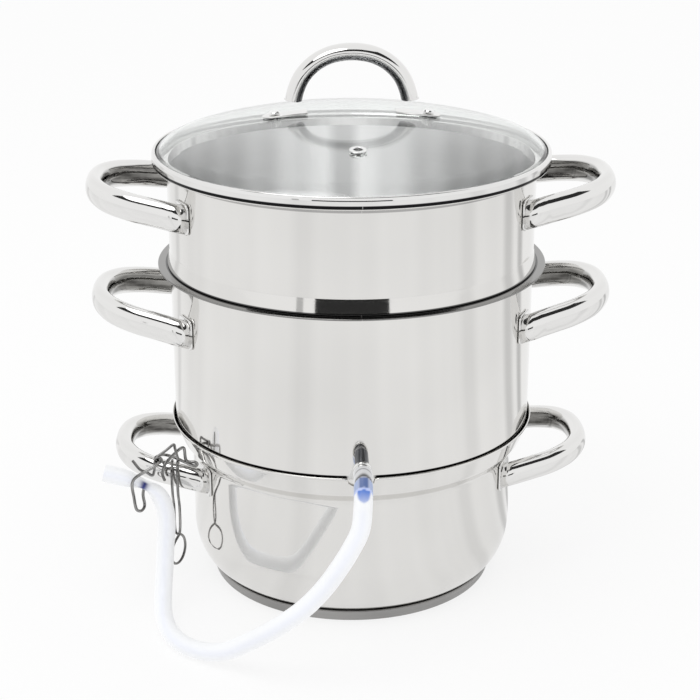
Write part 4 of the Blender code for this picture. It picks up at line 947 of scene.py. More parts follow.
def grip_tube(name, wall_r, span, root_z, rise, side, high, spread_shares):
    """Oval section carried along the handle's line, a level loop from wall to wall. Its first and last
    rings are where each line of the tube, run on straight, meets the round of the pads."""
    start = np.sqrt((wall_r + HANDLE_ROOT) ** 2 - (span / 2) ** 2)
    reach = wall_r + HANDLE_OUT - start
    far, spread = np.array(HANDLE_REACH_SHARES), np.array(spread_shares)
    half = np.stack([start + reach * far, span / 2 * spread, root_z + rise * far], axis=1)
    before = half[0] - (0.35 * reach, -0.02 * span / 2, 0.35 * rise)
    points = np.vstack([before, half, half[-2::-1] * (1, -1, 1), before * (1, -1, 1)])
    line = smooth_line(points, 12)[12:-12]
    tangent = np.gradient(line, axis=0)
    tangent /= np.linalg.norm(tangent, axis=1)[:, None]
    level = np.cross((0.0, 0.0, 1.0), tangent)
    level /= np.linalg.norm(level, axis=1)[:, None]
    grid = section_grid(line, HANDLE_W / 2, high / 2, level, np.cross(tangent, level), 48)
    seat_r = wall_r + PAD_GAP + PAD_T * 0.5

    def on_pads(ring, way):
        """Each point of a ring moved back along the tube until its distance from the axis is the pads'."""
        a = way[:2] @ way[:2]
        b = ring[:, :2] @ way[:2]
        c = (ring[:, :2] ** 2).sum(axis=1) - seat_r**2
        return ring - way * ((b - np.sqrt(b * b - a * c)) / a)[:, None]

    first, last = on_pads(grid[0], tangent[0]), on_pads(grid[-1], -tangent[-1])
    middle_first = np.broadcast_to(first.mean(axis=0), first.shape)
    middle_last = np.broadcast_to(last.mean(axis=0), last.shape)
    grid = np.concatenate([[middle_first, first], grid, [last, middle_last]])
    far = np.concatenate([[0.0], lengths_along(np.concatenate([[first.mean(0)], line, [last.mean(0)]])), [0.0]])
    return grid_piece(name, grid * (side, 1, 1), GRIP_STEEL, lengths=far)


def curved_pad(name, wall_r, turn, height):
    """Rounded rectangle bent round the wall: rings of the same outline grow from the middle of the
    outer face, over a rounded edge, to the middle of the inner one."""
    angle = np.linspace(0.0, 2 * np.pi, 64, endpoint=False)
    reach = np.stack([np.cos(angle), np.sin(angle)], axis=1)
    square = np.sign(reach) * (PAD_W / 2 - PAD_CORNER, PAD_H / 2 - PAD_CORNER)
    outline = square + reach * PAD_CORNER
    edge = np.linspace(0.0, np.pi, 9)
    shares = np.concatenate([[0.0, 0.5, 0.9], 0.94 + 0.06 * np.sin(edge), [0.9, 0.5, 0.0]])
    out = np.concatenate([[PAD_T] * 3, PAD_T / 2 * (1 + np.cos(edge)), [0.0] * 3])
    wide = shares[:, None] * outline[None, :, 0]
    high = shares[:, None] * outline[None, :, 1]
    radius = wall_r + PAD_GAP + out[:, None] + 0 * wide
    along = turn + wide / (wall_r + PAD_GAP)
    grid = np.stack([radius * np.cos(along), radius * np.sin(along), height + high], axis=-1)
    return grid_piece(name, grid, TUBE_STEEL)


def handle_pair(pot, wall_r, span, root_z, rise, high, spread_shares):
    """Both handles of a pot with their four pads, each standing for its solid."""
    pad_turn = np.arcsin(span / 2 / (wall_r + PAD_GAP + PAD_T))
    for side, word in ((-1, "left"), (1, "right")):
        grip = grip_tube(f"{pot}_grip_{word}", wall_r, span, root_z, rise, side, high, spread_shares)
        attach(grip, pot)
        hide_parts(f"{pot}_handle_{word}")
        for end, place in ((-1, "front"), (1, "back")):
            turn = np.arctan2(end * np.sin(pad_turn), side * np.cos(pad_turn))
            pad = curved_pad(f"{pot}_pad_{word}_{place}", wall_r, turn, root_z)
            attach(pad, pot)
            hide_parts(f"{pot}_handle_pad_{word}_{place}")


PAN_HANDLE_SPAN = 0.1000
PAN_HANDLE_Z = 0.0880
PAN_HANDLE_RISE = 0.0110
PAN_HANDLE_H = 0.0178
PAN_HANDLE_SPREAD = (1.0, 0.968, 0.93, 0.855, 0.665, 0.425, 0.24, 0.0)
handle_pair("pan", PAN_R, PAN_HANDLE_SPAN, PAN_HANDLE_Z, PAN_HANDLE_RISE, PAN_HANDLE_H, PAN_HANDLE_SPREAD)

# Juice kettle
# A polished pot that sits with a narrow cone in the pan's collar. Its floor rises to a steam hole and
# its rim is a flat flange that carries the basket.
KETTLE_R = 0.130735
KETTLE_SEAT_R = 0.12721897
KETTLE_SEAT_Z = 0.1130
KETTLE_SEAT_TOP_Z = 0.12155563
KETTLE_CORNER = 0.0060
KETTLE_RAISED_R = 0.0570
KETTLE_HOLE_R = 0.0442
KETTLE_TOP_Z = 0.2403
KETTLE_FLANGE_OUT = 0.0088
FLANGE_T = 0.0012
FLANGE_FILLET = 0.0015


def flat_rim(wall_r, top_z, out):
    """Corners of a pot's rim, from the inner wall over the flat flange to the outer wall, and how
    round each is."""
    corners = [
        (wall_r - SHEET, top_z),
        (wall_r + out, top_z),
        (wall_r + out, top_z - FLANGE_T),
        (wall_r, top_z - FLANGE_T),
    ]
    return corners, [FLANGE_FILLET, FLANGE_T * 0.45, FLANGE_T * 0.45, FLANGE_FILLET]


corner = (KETTLE_SEAT_R - KETTLE_CORNER, KETTLE_SEAT_Z)
raised_z = KETTLE_SEAT_Z
kettle_inner = oval_corner(corner, KETTLE_CORNER - SHEET, KETTLE_CORNER - SHEET, -90, 0, 12)
kettle_outer = oval_corner(corner, KETTLE_CORNER, KETTLE_CORNER, 0, -90, 12)
rim_corners, rim_radii = flat_rim(KETTLE_R, KETTLE_TOP_Z, KETTLE_FLANGE_OUT)
kettle_corners = np.vstack(
    [
        (KETTLE_HOLE_R, raised_z + SHEET),
        (KETTLE_RAISED_R, raised_z + SHEET),
        kettle_inner,
        (KETTLE_R - SHEET, KETTLE_SEAT_TOP_Z),
        rim_corners,
        (KETTLE_R, KETTLE_SEAT_TOP_Z),
        kettle_outer,
        (KETTLE_RAISED_R, raised_z),
        (KETTLE_HOLE_R, raised_z),
    ]
)
kettle_radii = np.concatenate([[0, 0.002], np.zeros(12), [0.002], rim_radii, [0.002], np.zeros(12), [0.002, 0]])
kettle = turned_piece("juice_kettle", rounded(kettle_corners, kettle_radii, ring=True), POLISHED, ring=True)
mark_inside(kettle, BRUSHED, KETTLE_R - SHEET / 2)
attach(kettle, "kettle")
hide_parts("kettle_shell")

KETTLE_HANDLE_SPAN = 0.1140
KETTLE_HANDLE_Z = 0.2040
KETTLE_HANDLE_RISE = 0.0115
UPPER_HANDLE_H = 0.0198
UPPER_HANDLE_SPREAD = (1.0, 0.945, 0.89, 0.80, 0.615, 0.385, 0.22, 0.0)
handle_pair(
    "kettle", KETTLE_R, KETTLE_HANDLE_SPAN, KETTLE_HANDLE_Z, KETTLE_HANDLE_RISE, UPPER_HANDLE_H, UPPER_HANDLE_SPREAD
)

# Steam chimney
# A drawn steel cone on the kettle's raised floor, open at both ends. A foot flange seals it and its
# top is rolled into a bead.
CHIMNEY_FOOT_R = 0.0450
CHIMNEY_TOP_R = 0.0220
CHIMNEY_FLANGE = 0.0080
CHIMNEY_FOOT_Z = 0.1141
CHIMNEY_TOP_Z = 0.1963
CHIMNEY_BEAD = 0.0016

chimney_corners = [
    (CHIMNEY_TOP_R - SHEET, CHIMNEY_TOP_Z),
    (CHIMNEY_TOP_R + CHIMNEY_BEAD, CHIMNEY_TOP_Z),
    (CHIMNEY_TOP_R + CHIMNEY_BEAD, CHIMNEY_TOP_Z - CHIMNEY_BEAD * 1.5),
    (CHIMNEY_TOP_R, CHIMNEY_TOP_Z - CHIMNEY_BEAD * 2),
    (CHIMNEY_FOOT_R, CHIMNEY_FOOT_Z + 2 * SHEET),
    (CHIMNEY_FOOT_R + CHIMNEY_FLANGE, CHIMNEY_FOOT_Z + SHEET),
    (CHIMNEY_FOOT_R + CHIMNEY_FLANGE, CHIMNEY_FOOT_Z),
    (CHIMNEY_FOOT_R - SHEET, CHIMNEY_FOOT_Z),
]
chimney_radii = [0.0004, 0.0008, 0.0008, 0.0004, 0.0020, 0.0003, 0.0003, 0.0003]
chimney = turned_piece("steam_cone", rounded(chimney_corners, chimney_radii, ring=True), BRUSHED, ring=True, columns=128)
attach(chimney, "kettle")
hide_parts("steam_chimney")

# Juice outlet
# A short satin pipe slopes down through the kettle's wall. A bright ferrule on it stops the hose end.
OUTLET_ROOT = (0.0, -0.130735, 0.1410)
OUTLET_SLOPE = radians(16)
OUTLET_R = 0.00465
OUTLET_BORE_R = 0.0035
OUTLET_START = -0.0048
OUTLET_END = 0.0258
FERRULE_AT = 0.0145
FERRULE_L = 0.0045
FERRULE_R = 0.00645


def placed_turned(name, profile, finish, origin, axis, columns=64, ring=True):
    """Surface of revolution about any axis: two directions square to the axis take the cosine and the
    sine of the turn times the radius, and the axis itself takes the height."""
    axis = np.array(axis, float) / np.linalg.norm(axis)
    side = np.cross(axis, (1.0, 0.0, 0.0))
    side /= np.linalg.norm(side)
    third = np.cross(axis, side)
    profile = np.asarray(profile, float)
    turn = np.linspace(0.0, 2 * np.pi, columns, endpoint=False)
    r, z = profile[:, 0][:, None, None], profile[:, 1][:, None, None]
    around = side * np.cos(turn)[None, :, None] + third * np.sin(turn)[None, :, None]
    grid = np.array(origin) + r * around + z * axis
    return grid_piece(name, grid, finish, wrap_rows=ring, lengths=lengths_along(profile))


SATIN = drawn_finish("satin_steel", (0.42, 0.42, 0.42), (0.52, 0.52, 0.515), 0.20, 0.34, 24.0, 60.0, 0.1)
BRIGHT = drawn_finish("bright_steel", (0.82, 0.82, 0.815), (0.86, 0.86, 0.855), 0.03, 0.08, 10.0, 200.0, 0.0)
outlet_way = (0.0, -np.cos(OUTLET_SLOPE), -np.sin(OUTLET_SLOPE))
pipe_corners = [
    (OUTLET_BORE_R, OUTLET_END),
    (OUTLET_R, OUTLET_END),
    (OUTLET_R, OUTLET_START),
    (OUTLET_BORE_R, OUTLET_START),
]
PIPE_STEEL = drawn_finish("pipe_steel", (0.10, 0.105, 0.12), (0.25, 0.255, 0.27), 0.26, 0.40, 24.0, 60.0, 0.1)
pipe = placed_turned("outlet_tube", rounded(pipe_corners, 0.0003, ring=True), PIPE_STEEL, OUTLET_ROOT, outlet_way)
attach(pipe, "kettle")
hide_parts("outlet_pipe")
ferrule_corners = [
    (OUTLET_R + 0.0001, FERRULE_AT + FERRULE_L),
    (FERRULE_R, FERRULE_AT + FERRULE_L),
    (FERRULE_R, FERRULE_AT + FERRULE_L * 0.62),
    (FERRULE_R - 0.0013, FERRULE_AT + FERRULE_L * 0.5),
    (FERRULE_R, FERRULE_AT + FERRULE_L * 0.38),
    (FERRULE_R, FERRULE_AT),
    (OUTLET_R + 0.0001, FERRULE_AT),
]
ferrule_profile = rounded(ferrule_corners, 0.0006, ring=True)
ferrule = placed_turned("outlet_collar", ferrule_profile, BRIGHT, OUTLET_ROOT, outlet_way)
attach(ferrule, "kettle")
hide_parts("outlet_ferrule")

# Fruit basket
# Polished outside and brushed inside. A folded skirt stands on the kettle's flange, a narrower step
# nests inside the kettle, and the floor is punched with rings of drain holes.
BASKET_R = 0.131035
BASKET_NEST_R = 0.126235
BASKET_FLOOR_Z = 0.2073
BASKET_CORNER = 0.0080
BASKET_SKIRT_Z = 0.2406
BASKET_SKIRT_OUT = 0.0019
BASKET_CREASE_Z = 0.2515
BASKET_TOP_Z = 0.3144
BASKET_FLANGE_OUT = 0.0092
BASKET_HOLE_R = 0.0035
BASKET_HOLE_PITCH = 0.0200
BASKET_HOLE_RINGS = 4

corner = (BASKET_NEST_R - BASKET_CORNER, BASKET_FLOOR_Z + BASKET_CORNER)
basket_inner = oval_corner(corner, BASKET_CORNER - SHEET, BASKET_CORNER - SHEET, -90, 0, 12)
basket_outer = oval_corner(corner, BASKET_CORNER, BASKET_CORNER, 0, -90, 12)
rim_corners, rim_radii = flat_rim(BASKET_R, BASKET_TOP_Z, BASKET_FLANGE_OUT)
basket_corners = np.vstack(
    [
        (0.0, BASKET_FLOOR_Z + SHEET),
        basket_inner,
        (BASKET_NEST_R - SHEET, BASKET_CREASE_Z - SHEET),
        (BASKET_R - SHEET, BASKET_CREASE_Z + SHEET),
        rim_corners,
        (BASKET_R, BASKET_CREASE_Z),
        (BASKET_R + BASKET_SKIRT_OUT, BASKET_SKIRT_Z),
        (BASKET_R + BASKET_SKIRT_OUT - SHEET, BASKET_SKIRT_Z),
        (BASKET_R - SHEET, BASKET_CREASE_Z - 2 * SHEET),
        (BASKET_NEST_R + 0.0020, BASKET_CREASE_Z - 3 * SHEET),
        (BASKET_NEST_R, BASKET_CREASE_Z - 4 * SHEET),
        basket_outer,
        (0.0, BASKET_FLOOR_Z),
    ]
)
basket_radii = np.concatenate(
    [[0], np.zeros(12), [0.0015, 0.0015], rim_radii, [0.0007, 0.0003, 0.0003, 0.0006, 0.0006, 0.0006], np.zeros(13)]
)
basket = turned_piece("fruit_basket", rounded(basket_corners, basket_radii), POLISHED)


def pierced(piece, pins):
    """The piece with the space of the pins, each a (centre, axis, radius, half length), taken out of
    it. The pins are closed round bars that are removed again afterwards."""
    turn = np.linspace(0.0, 2 * np.pi, 16, endpoint=False)
    verts, faces = [], []
    for centre, axis, radius, half in pins:
        axis = np.array(axis, float) / np.linalg.norm(axis)
        side = np.cross(axis, (1.0, 0.0, 0.0))
        side /= np.linalg.norm(side)
        ring = side * np.cos(turn)[:, None] + np.cross(axis, side) * np.sin(turn)[:, None]
        first = sum(len(block) for block in verts)
        verts.append(np.vstack([centre + radius * ring - half * axis, centre + radius * ring + half * axis]))
        low, high = first + np.arange(16), first + 16 + np.arange(16)
        faces += np.stack([low, np.roll(low, -1), np.roll(high, -1), high], axis=1).tolist()
        faces += [low[::-1].tolist(), high.tolist()]
    mesh = bpy.data.meshes.new("pins")
    mesh.from_pydata(np.vstack(verts).tolist(), [], faces)
    cutter = bpy.data.objects.new("pins", mesh)
    bpy.context.scene.collection.objects.link(cutter)
    step = piece.modifiers.new("pierced", "BOOLEAN")
    step.operation = "DIFFERENCE"
    step.object = cutter
    step.solver = "EXACT"
    bpy.context.view_layer.update()
    made = bpy.data.meshes.new_from_object(piece.evaluated_get(bpy.context.evaluated_depsgraph_get()))
    piece.modifiers.clear()
    piece.data = made
    bpy.data.objects.remove(cutter, do_unlink=True)
    return piece


pins = []
for ring_number in range(BASKET_HOLE_RINGS + 1):
    hole_count = max(1, 6 * ring_number)
    for step_number in range(hole_count):
        hole_turn = 2 * np.pi * step_number / hole_count
        reach_r = ring_number * BASKET_HOLE_PITCH
        centre = np.array([reach_r * np.cos(hole_turn), reach_r * np.sin(hole_turn), BASKET_FLOOR_Z])
        pins.append((centre, (0.0, 0.0, 1.0), BASKET_HOLE_R, 0.004))
pierced(basket, pins)
mark_inside(basket, BRUSHED, BASKET_R - SHEET / 2)
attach(basket, "basket")
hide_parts("basket_shell")

BASKET_HANDLE_SPAN = 0.1160
BASKET_HANDLE_Z = 0.2872
BASKET_HANDLE_RISE = 0.0094
handle_pair(
    "basket", BASKET_R, BASKET_HANDLE_SPAN, BASKET_HANDLE_Z, BASKET_HANDLE_RISE, UPPER_HANDLE_H, UPPER_HANDLE_SPREAD
)

# Lid glass
# Toughened glass, a shallow dome whose edge turns down in a tighter shoulder. It is pierced for the
# vent and for the handle's two screws.
BAND_Z = 0.3147
BAND_R = 0.141235
BAND_T = 0.0006
GLASS_T = 0.0035
GLASS_RIM_R = 0.140035
GLASS_RIM_Z = 0.3156
GLASS_SPHERE_R = 0.4510
GLASS_SHOULDER_IN = 0.0140
GLASS_SHOULDER_R = 0.0270
VENT_AT = 0.0850
SCREW_AT = 0.0540
SCREW_R = 0.0020
# Colour and ring of the painted shade on the glass beside the band, where the glass is seen edge on.
GLASS_RIM_SHADE = (0.05, 0.07, 0.065)
GLASS_RIM_SHADE_RING = (0.1385, 0.3209, 0.0013, 0.0018, 1.0)

shoulder_r = GLASS_RIM_R - GLASS_SHOULDER_IN
shoulder_turn = np.arcsin(shoulder_r / GLASS_SPHERE_R)
shoulder_centre_r = shoulder_r - GLASS_SHOULDER_R * np.sin(shoulder_turn)
rim_turn = np.arcsin((GLASS_RIM_R - shoulder_centre_r) / GLASS_SHOULDER_R)
shoulder_drop = GLASS_SHOULDER_R * (np.cos(shoulder_turn) - np.cos(rim_turn))
sphere_z = GLASS_RIM_Z + GLASS_T + shoulder_drop - GLASS_SPHERE_R * np.cos(shoulder_turn)
shoulder_centre_z = sphere_z + (GLASS_SPHERE_R - GLASS_SHOULDER_R) * np.cos(shoulder_turn)


def dome_line(depth, end_turn):
    """Profile of the glass at a depth below its outer face: an arc of the big sphere, then an arc of
    the shoulder, each the radius times the sine and the cosine of the turn."""
    crown = np.linspace(0.0, shoulder_turn, 24)[:-1]
    edge = np.linspace(shoulder_turn, end_turn, 16)
    big, tight = GLASS_SPHERE_R - depth, GLASS_SHOULDER_R - depth
    top = np.stack([big * np.sin(crown), sphere_z + big * np.cos(crown)], axis=1)
    low = np.stack([shoulder_centre_r + tight * np.sin(edge), shoulder_centre_z + tight * np.cos(edge)], axis=1)
    return np.vstack([top, low])


def on_dome(x, y, above):
    """Point that far above the glass's outer face over (x, y), and the direction of the face there."""
    way = np.array([x, y, np.sqrt(GLASS_SPHERE_R**2 - x * x - y * y)]) / GLASS_SPHERE_R
    return np.array([0.0, 0.0, sphere_z]) + way * (GLASS_SPHERE_R + above), way


def glass_finish():
    """Clear soda-lime glass with a green cast where it is seen edge on, and painted shade beside the band there."""
    made, nodes, links, shader = new_finish("lid_glass", (0.96, 0.985, 0.97), 0.0, 0.0)
    shader.inputs["Transmission Weight"].default_value = 1.0
    shader.inputs["IOR"].default_value = 1.50
    facing = nodes.new("ShaderNodeLayerWeight")
    facing.inputs["Blend"].default_value = 0.35
    edge = ranged(nodes, links, facing.outputs["Facing"], 0.55, 1.0, 0.0, 1.0)
    cast = colour_mix(nodes, links, edge, (0.985, 0.996, 0.990), (0.86, 0.94, 0.90))
    place = nodes.new("ShaderNodeTexCoord")
    rim = nodes.new("ShaderNodeGroup")
    rim.node_tree = seam_shade
    for socket, value in zip(("Radius", "Height", "Wide", "High", "Weight"), GLASS_RIM_SHADE_RING):
        rim.inputs[socket].default_value = value
    links.new(place.outputs["Object"], rim.inputs["Vector"])
    # Painted shade beside the band, only where the glass is seen edge on.
    outline = nodes.new("ShaderNodeMath")
    outline.operation = "MULTIPLY"
    links.new(rim.outputs["Shade"], outline.inputs[0])
    links.new(ranged(nodes, links, facing.outputs["Facing"], 0.42, 0.68, 0.0, 1.0), outline.inputs[1])
    links.new(colour_mix(nodes, links, outline.outputs["Value"], cast, GLASS_RIM_SHADE), shader.inputs["Base Color"])
    wipe = nodes.new("ShaderNodeTexNoise")
    wipe.inputs["Scale"].default_value = 24.0
    wipe.inputs["Detail"].default_value = 4.0
    links.new(place.outputs["Object"], wipe.inputs["Vector"])
    links.new(ranged(nodes, links, wipe.outputs["Fac"], 0.5, 0.75, 0.0, 0.025), shader.inputs["Roughness"])
    return made


glass_outer = dome_line(0.0, rim_turn)
glass_inner = dome_line(GLASS_T, rim_turn * 0.8)
glass_foot = np.array([(GLASS_RIM_R, GLASS_RIM_Z), (glass_inner[-1, 0] + GLASS_T / 2, GLASS_RIM_Z)])
glass_profile = np.vstack([glass_outer, glass_foot, glass_inner[::-1]])
glass = turned_piece("glass_dome", glass_profile, glass_finish())
vent_place, vent_way = on_dome(0.0, -VENT_AT, 0.0)
pierced(
    glass,
    [(vent_place, vent_way, 0.0043, 0.01)]
    + [(*on_dome(side * SCREW_AT, 0.0, 0.0), SCREW_R + 0.0003, 0.01) for side in (-1, 1)],
)
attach(glass, "lid")
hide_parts("lid_glass")

# Lid band
# A polished steel strip rolled round the rim of the glass. It curls over the glass, rests on the
# basket's flange and dips inside the wall, so that the lid stays centred.
BAND_H = 0.0070
BAND_FACE_R = 0.0085
BAND_FACE_TURN = 20.0
BAND_FACE_H = 0.0039
BAND_EDGE_R = 0.0012
SPIGOT_R = 0.129235
SPIGOT_DEPTH = 0.0060
# Rings of painted shade on the band: at its inner curl beside the glass, and along its lower edge above the basket's
# flange.
BAND_SEAM_SHADES = ((0.1383, 0.3213, 0.0005, 0.0008, 0.8), (0.1412, 0.3153, 0.0014, 0.0011, 1.0))

band_inner_r = BAND_R - BAND_T * 1.9
face = oval_corner((BAND_R - BAND_FACE_R, BAND_Z + BAND_FACE_H), BAND_FACE_R, BAND_FACE_R, BAND_FACE_TURN, 0, 12)
face_turn = np.radians(BAND_FACE_TURN)
edge_centre = face[0] - BAND_EDGE_R * np.array([np.cos(face_turn), np.sin(face_turn)])
edge = oval_corner(edge_centre, BAND_EDGE_R, BAND_EDGE_R, 85, BAND_FACE_TURN, 10)
band_crown = np.vstack([edge[0] - (0.0013, 0.0002), edge, face[1:]])
band_corners = np.vstack(
    [
        band_crown,
        (BAND_R, BAND_Z),
        (SPIGOT_R, BAND_Z),
        (SPIGOT_R, BAND_Z - SPIGOT_DEPTH),
        (SPIGOT_R - BAND_T, BAND_Z - SPIGOT_DEPTH),
        (SPIGOT_R - BAND_T, BAND_Z + BAND_T),
        (band_inner_r, BAND_Z + BAND_T),
        (band_inner_r, BAND_Z + BAND_H * 0.64),
        band_crown[0] - (0.0, 0.0008),
    ]
)
band_radii = np.concatenate([np.zeros(22), [0.0003, 0.0005, 0.0002, 0.0002, 0.0004, 0.0004, 0.0004, 0.0]])
BAND_STEEL = turned_finish(
    "band_steel", (0.80, 0.797, 0.788), (0.77, 0.767, 0.758), 0.03, 0.06, 900.0, 0.0, BAND_SEAM_SHADES
)
band = turned_piece("rim_band", rounded(band_corners, band_radii, ring=True), BAND_STEEL, ring=True)
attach(band, "lid")
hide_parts("lid_rim_band")

# Vent eyelet
# A small pressed steel eyelet, flared above and below the glass, lets the steam out.
VENT_R = 0.0060
VENT_NECK_R = 0.0040
VENT_BORE_R = 0.0027
VENT_RIM_T = 0.0011

vent_top = VENT_RIM_T + 0.0003
vent_low = -GLASS_T - 0.0003
vent_corners = [
    (VENT_BORE_R, vent_top),
    (VENT_R, vent_top),
    (VENT_R, 0.0003),
    (VENT_NECK_R, 0.0003),
    (VENT_NECK_R, vent_low),
    (VENT_R, vent_low),
    (VENT_R, vent_low - VENT_RIM_T),
    (VENT_BORE_R, vent_low - VENT_RIM_T),
]
vent_radii = [0.0007, 0.0009, 0.0003, 0.0001, 0.0001, 0.0003, 0.0008, 0.0006]
vent = placed_turned("vent_ring", rounded(vent_corners, vent_radii, ring=True), BRIGHT, vent_place, vent_way)
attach(vent, "lid")
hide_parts("lid_vent_eyelet")

# Lid handle
# A polished oval tube bent into an arch over the middle of the dome, welded to a flat tab at each foot.
# A pan-head screw, a washer and a nut hold each tab to the glass.
ARCH_HALF = 0.0412
ARCH_H = 0.0418
ARCH_FOOT_Z = 0.34694
ARCH_THICK = 0.0120
ARCH_DEEP = 0.0165
ARCH_HALF_SHARES = (1.0, 1.0, 0.955, 0.835, 0.63, 0.385, 0.165)
ARCH_RISE_SHARES = (-0.10, 0.10, 0.34, 0.60, 0.81, 0.94, 0.99)
TAB_OUTER = 0.0630
TAB_INNER = 0.0310
TAB_W = 0.0140
TAB_T = 0.0012
SCREW_HEAD_R = 0.0040
SCREW_HEAD_H = 0.0022
WASHER_R = 0.0060
WASHER_T = 0.0010
NUT_R = 0.0044
NUT_H = 0.0032
FIX_GAP = 0.0003

arch_half = np.stack(
    [ARCH_HALF * np.array(ARCH_HALF_SHARES), np.zeros(7), ARCH_FOOT_Z + ARCH_H * np.array(ARCH_RISE_SHARES)],
    axis=1,
)
arch_points = np.vstack([arch_half, (0.0, 0.0, ARCH_FOOT_Z + ARCH_H), arch_half[::-1] * (-1, 1, 1)])
arch_line = smooth_line(arch_points, 14)
arch_way = np.gradient(arch_line, axis=0)
arch_way /= np.linalg.norm(arch_way, axis=1)[:, None]
arch_depth = np.broadcast_to((0.0, 1.0, 0.0), arch_line.shape)
arch_grid = section_grid(arch_line, ARCH_DEEP / 2, ARCH_THICK / 2, arch_depth, np.cross(arch_way, arch_depth), 56)
for side in (1, -1):
    tab_place, tab_way = on_dome(side * (TAB_OUTER + TAB_INNER) / 2, 0.0, 2 * FIX_GAP + TAB_T)
    below = np.clip((tab_place - arch_grid) @ tab_way, 0.0, None)
    arch_grid = arch_grid + (below / tab_way[2])[..., None] * (0.0, 0.0, 1.0)
first, last = arch_grid[0].mean(axis=0), arch_grid[-1].mean(axis=0)
caps = [np.broadcast_to(end, arch_grid[0].shape) for end in (first, last)]
arch_grid = np.concatenate([[caps[0]], arch_grid, [caps[1]]])
arch_far = lengths_along(np.vstack([first, arch_line, last]))
# Painted shade on the arch's inner face: where it fades, and its two greys.
ARCH_INNER_SHADE = ((0.20, 0.225), ((0.11, 0.11, 0.115), (0.19, 0.19, 0.195)))
ARCH_STEEL = drawn_finish(
    "arch_steel", (0.775, 0.77, 0.76), (0.80, 0.795, 0.785), 0.04, 0.09, 4.0, 0.8, 0.0, 0.25, ARCH_INNER_SHADE
)
arch = grid_piece("lid_arch", arch_grid, ARCH_STEEL, lengths=arch_far)
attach(arch, "lid")
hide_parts("lid_handle_arch")


def lid_tab(name, side):
    """Flat strip with a round outer end, lying on the dome: rings of its outline grow from the middle
    of the upper face over a rounded edge to the middle of the lower one."""
    length = TAB_OUTER - TAB_INNER
    turn = np.linspace(-np.pi / 2, np.pi / 2, 25)
    nose = np.stack([length / 2 - TAB_W / 2 + TAB_W / 2 * np.cos(turn), TAB_W / 2 * np.sin(turn)], axis=1)
    heel = np.array([(-length / 2, TAB_W / 2), (-length / 2, 0.0), (-length / 2, -TAB_W / 2)])
    outline = np.vstack([nose, heel])
    edge = np.linspace(0.0, np.pi, 7)
    shares = np.concatenate([[0.0, 0.6, 0.9], 0.95 + 0.05 * np.sin(edge), [0.9, 0.6, 0.0]])
    high = np.concatenate([[TAB_T] * 3, TAB_T / 2 * (1 + np.cos(edge)), [0.0] * 3]) + FIX_GAP
    place, way = on_dome(side * (TAB_OUTER + TAB_INNER) / 2, 0.0, 0.0)
    out = np.array([way[2], 0.0, -way[0]]) * side
    flat_grid = shares[:, None, None] * outline[None]
    grid = (
        place
        + flat_grid[:, :, :1] * out
        + flat_grid[:, :, 1:] * np.array([0.0, 1.0, 0.0])
        + high[:, None, None] * way
    )
    return grid_piece(name, grid, TUBE_STEEL)


screw_top = 3 * FIX_GAP + TAB_T
nut_top = -GLASS_T - 2 * FIX_GAP - WASHER_T
screw_corners = [
    (0.0, screw_top + SCREW_HEAD_H),
    (SCREW_HEAD_R * 0.75, screw_top + SCREW_HEAD_H * 0.92),
    (SCREW_HEAD_R, screw_top + SCREW_HEAD_H * 0.3),
    (SCREW_HEAD_R, screw_top),
    (SCREW_R, screw_top),
    (SCREW_R, nut_top - NUT_H - 0.0010),
    (0.0, nut_top - NUT_H - 0.0010),
]
screw_profile = rounded(screw_corners, 0.0010)
bore = SCREW_R + 0.0001
washer_profile = rounded(
    [
        (bore, -GLASS_T - FIX_GAP),
        (WASHER_R, -GLASS_T - FIX_GAP),
        (WASHER_R, -GLASS_T - FIX_GAP - WASHER_T),
        (bore, -GLASS_T - FIX_GAP - WASHER_T),
    ],
    0.0002,
    ring=True,
)
nut_profile = [(bore, nut_top), (NUT_R, nut_top), (NUT_R, nut_top - NUT_H), (bore, nut_top - NUT_H)]
for side, word in ((-1, "left"), (1, "right")):
    place, way = on_dome(side * SCREW_AT, 0.0, 0.0)
    fixings = (
        (lid_tab(f"arch_tab_{word}", side), f"lid_handle_tab_{word}", "polished_steel"),
        (
            placed_turned(f"tab_screw_{word}", screw_profile, BRIGHT, place, way, 40, ring=False),
            f"lid_screw_{word}",
            "bright_steel",
        ),
        (
            placed_turned(f"tab_washer_{word}", washer_profile, SATIN, place, way, 48),
            f"lid_washer_{word}",
            "satin_steel",
        ),
        (placed_turned(f"tab_nut_{word}", nut_profile, SATIN, place, way, 6), f"lid_nut_{word}", "satin_steel"),
    )
    for fixing, node, slot_name in fixings:
        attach(fixing, "lid")
        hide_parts(node)
    fixings[3][0].data.shade_flat()

# Studio
# A white floor and a white room, one soft lamp overhead and dark cards in front of the juicer, which
# the polished steel shows as its dark lines. None of it belongs to the juicer.
FLOOR_HALF = 6.0
ROOM_R = 4.0
LIGHT_LEVEL = 0.95
ROOM_STREAKS = ((76.0, 7.0, 0.3), (61.0, 5.0, 0.45), (-46.0, 5.0, 0.2), (-150.0, 9.0, 0.1), (112.0, 8.0, 0.12))


def seen_share(nodes, links):
    """One where a ray comes from the camera, a mirror or clear glass, and zero for soft light."""
    path = nodes.new("ShaderNodeLightPath")
    first = nodes.new("ShaderNodeMath")
    first.operation = "MAXIMUM"
    links.new(path.outputs["Is Camera Ray"], first.inputs[0])
    links.new(path.outputs["Is Glossy Ray"], first.inputs[1])
    second = nodes.new("ShaderNodeMath")
    second.operation = "MAXIMUM"
    links.new(first.outputs["Value"], second.inputs[0])
    links.new(path.outputs["Is Transmission Ray"], second.inputs[1])
    return second.outputs["Value"]


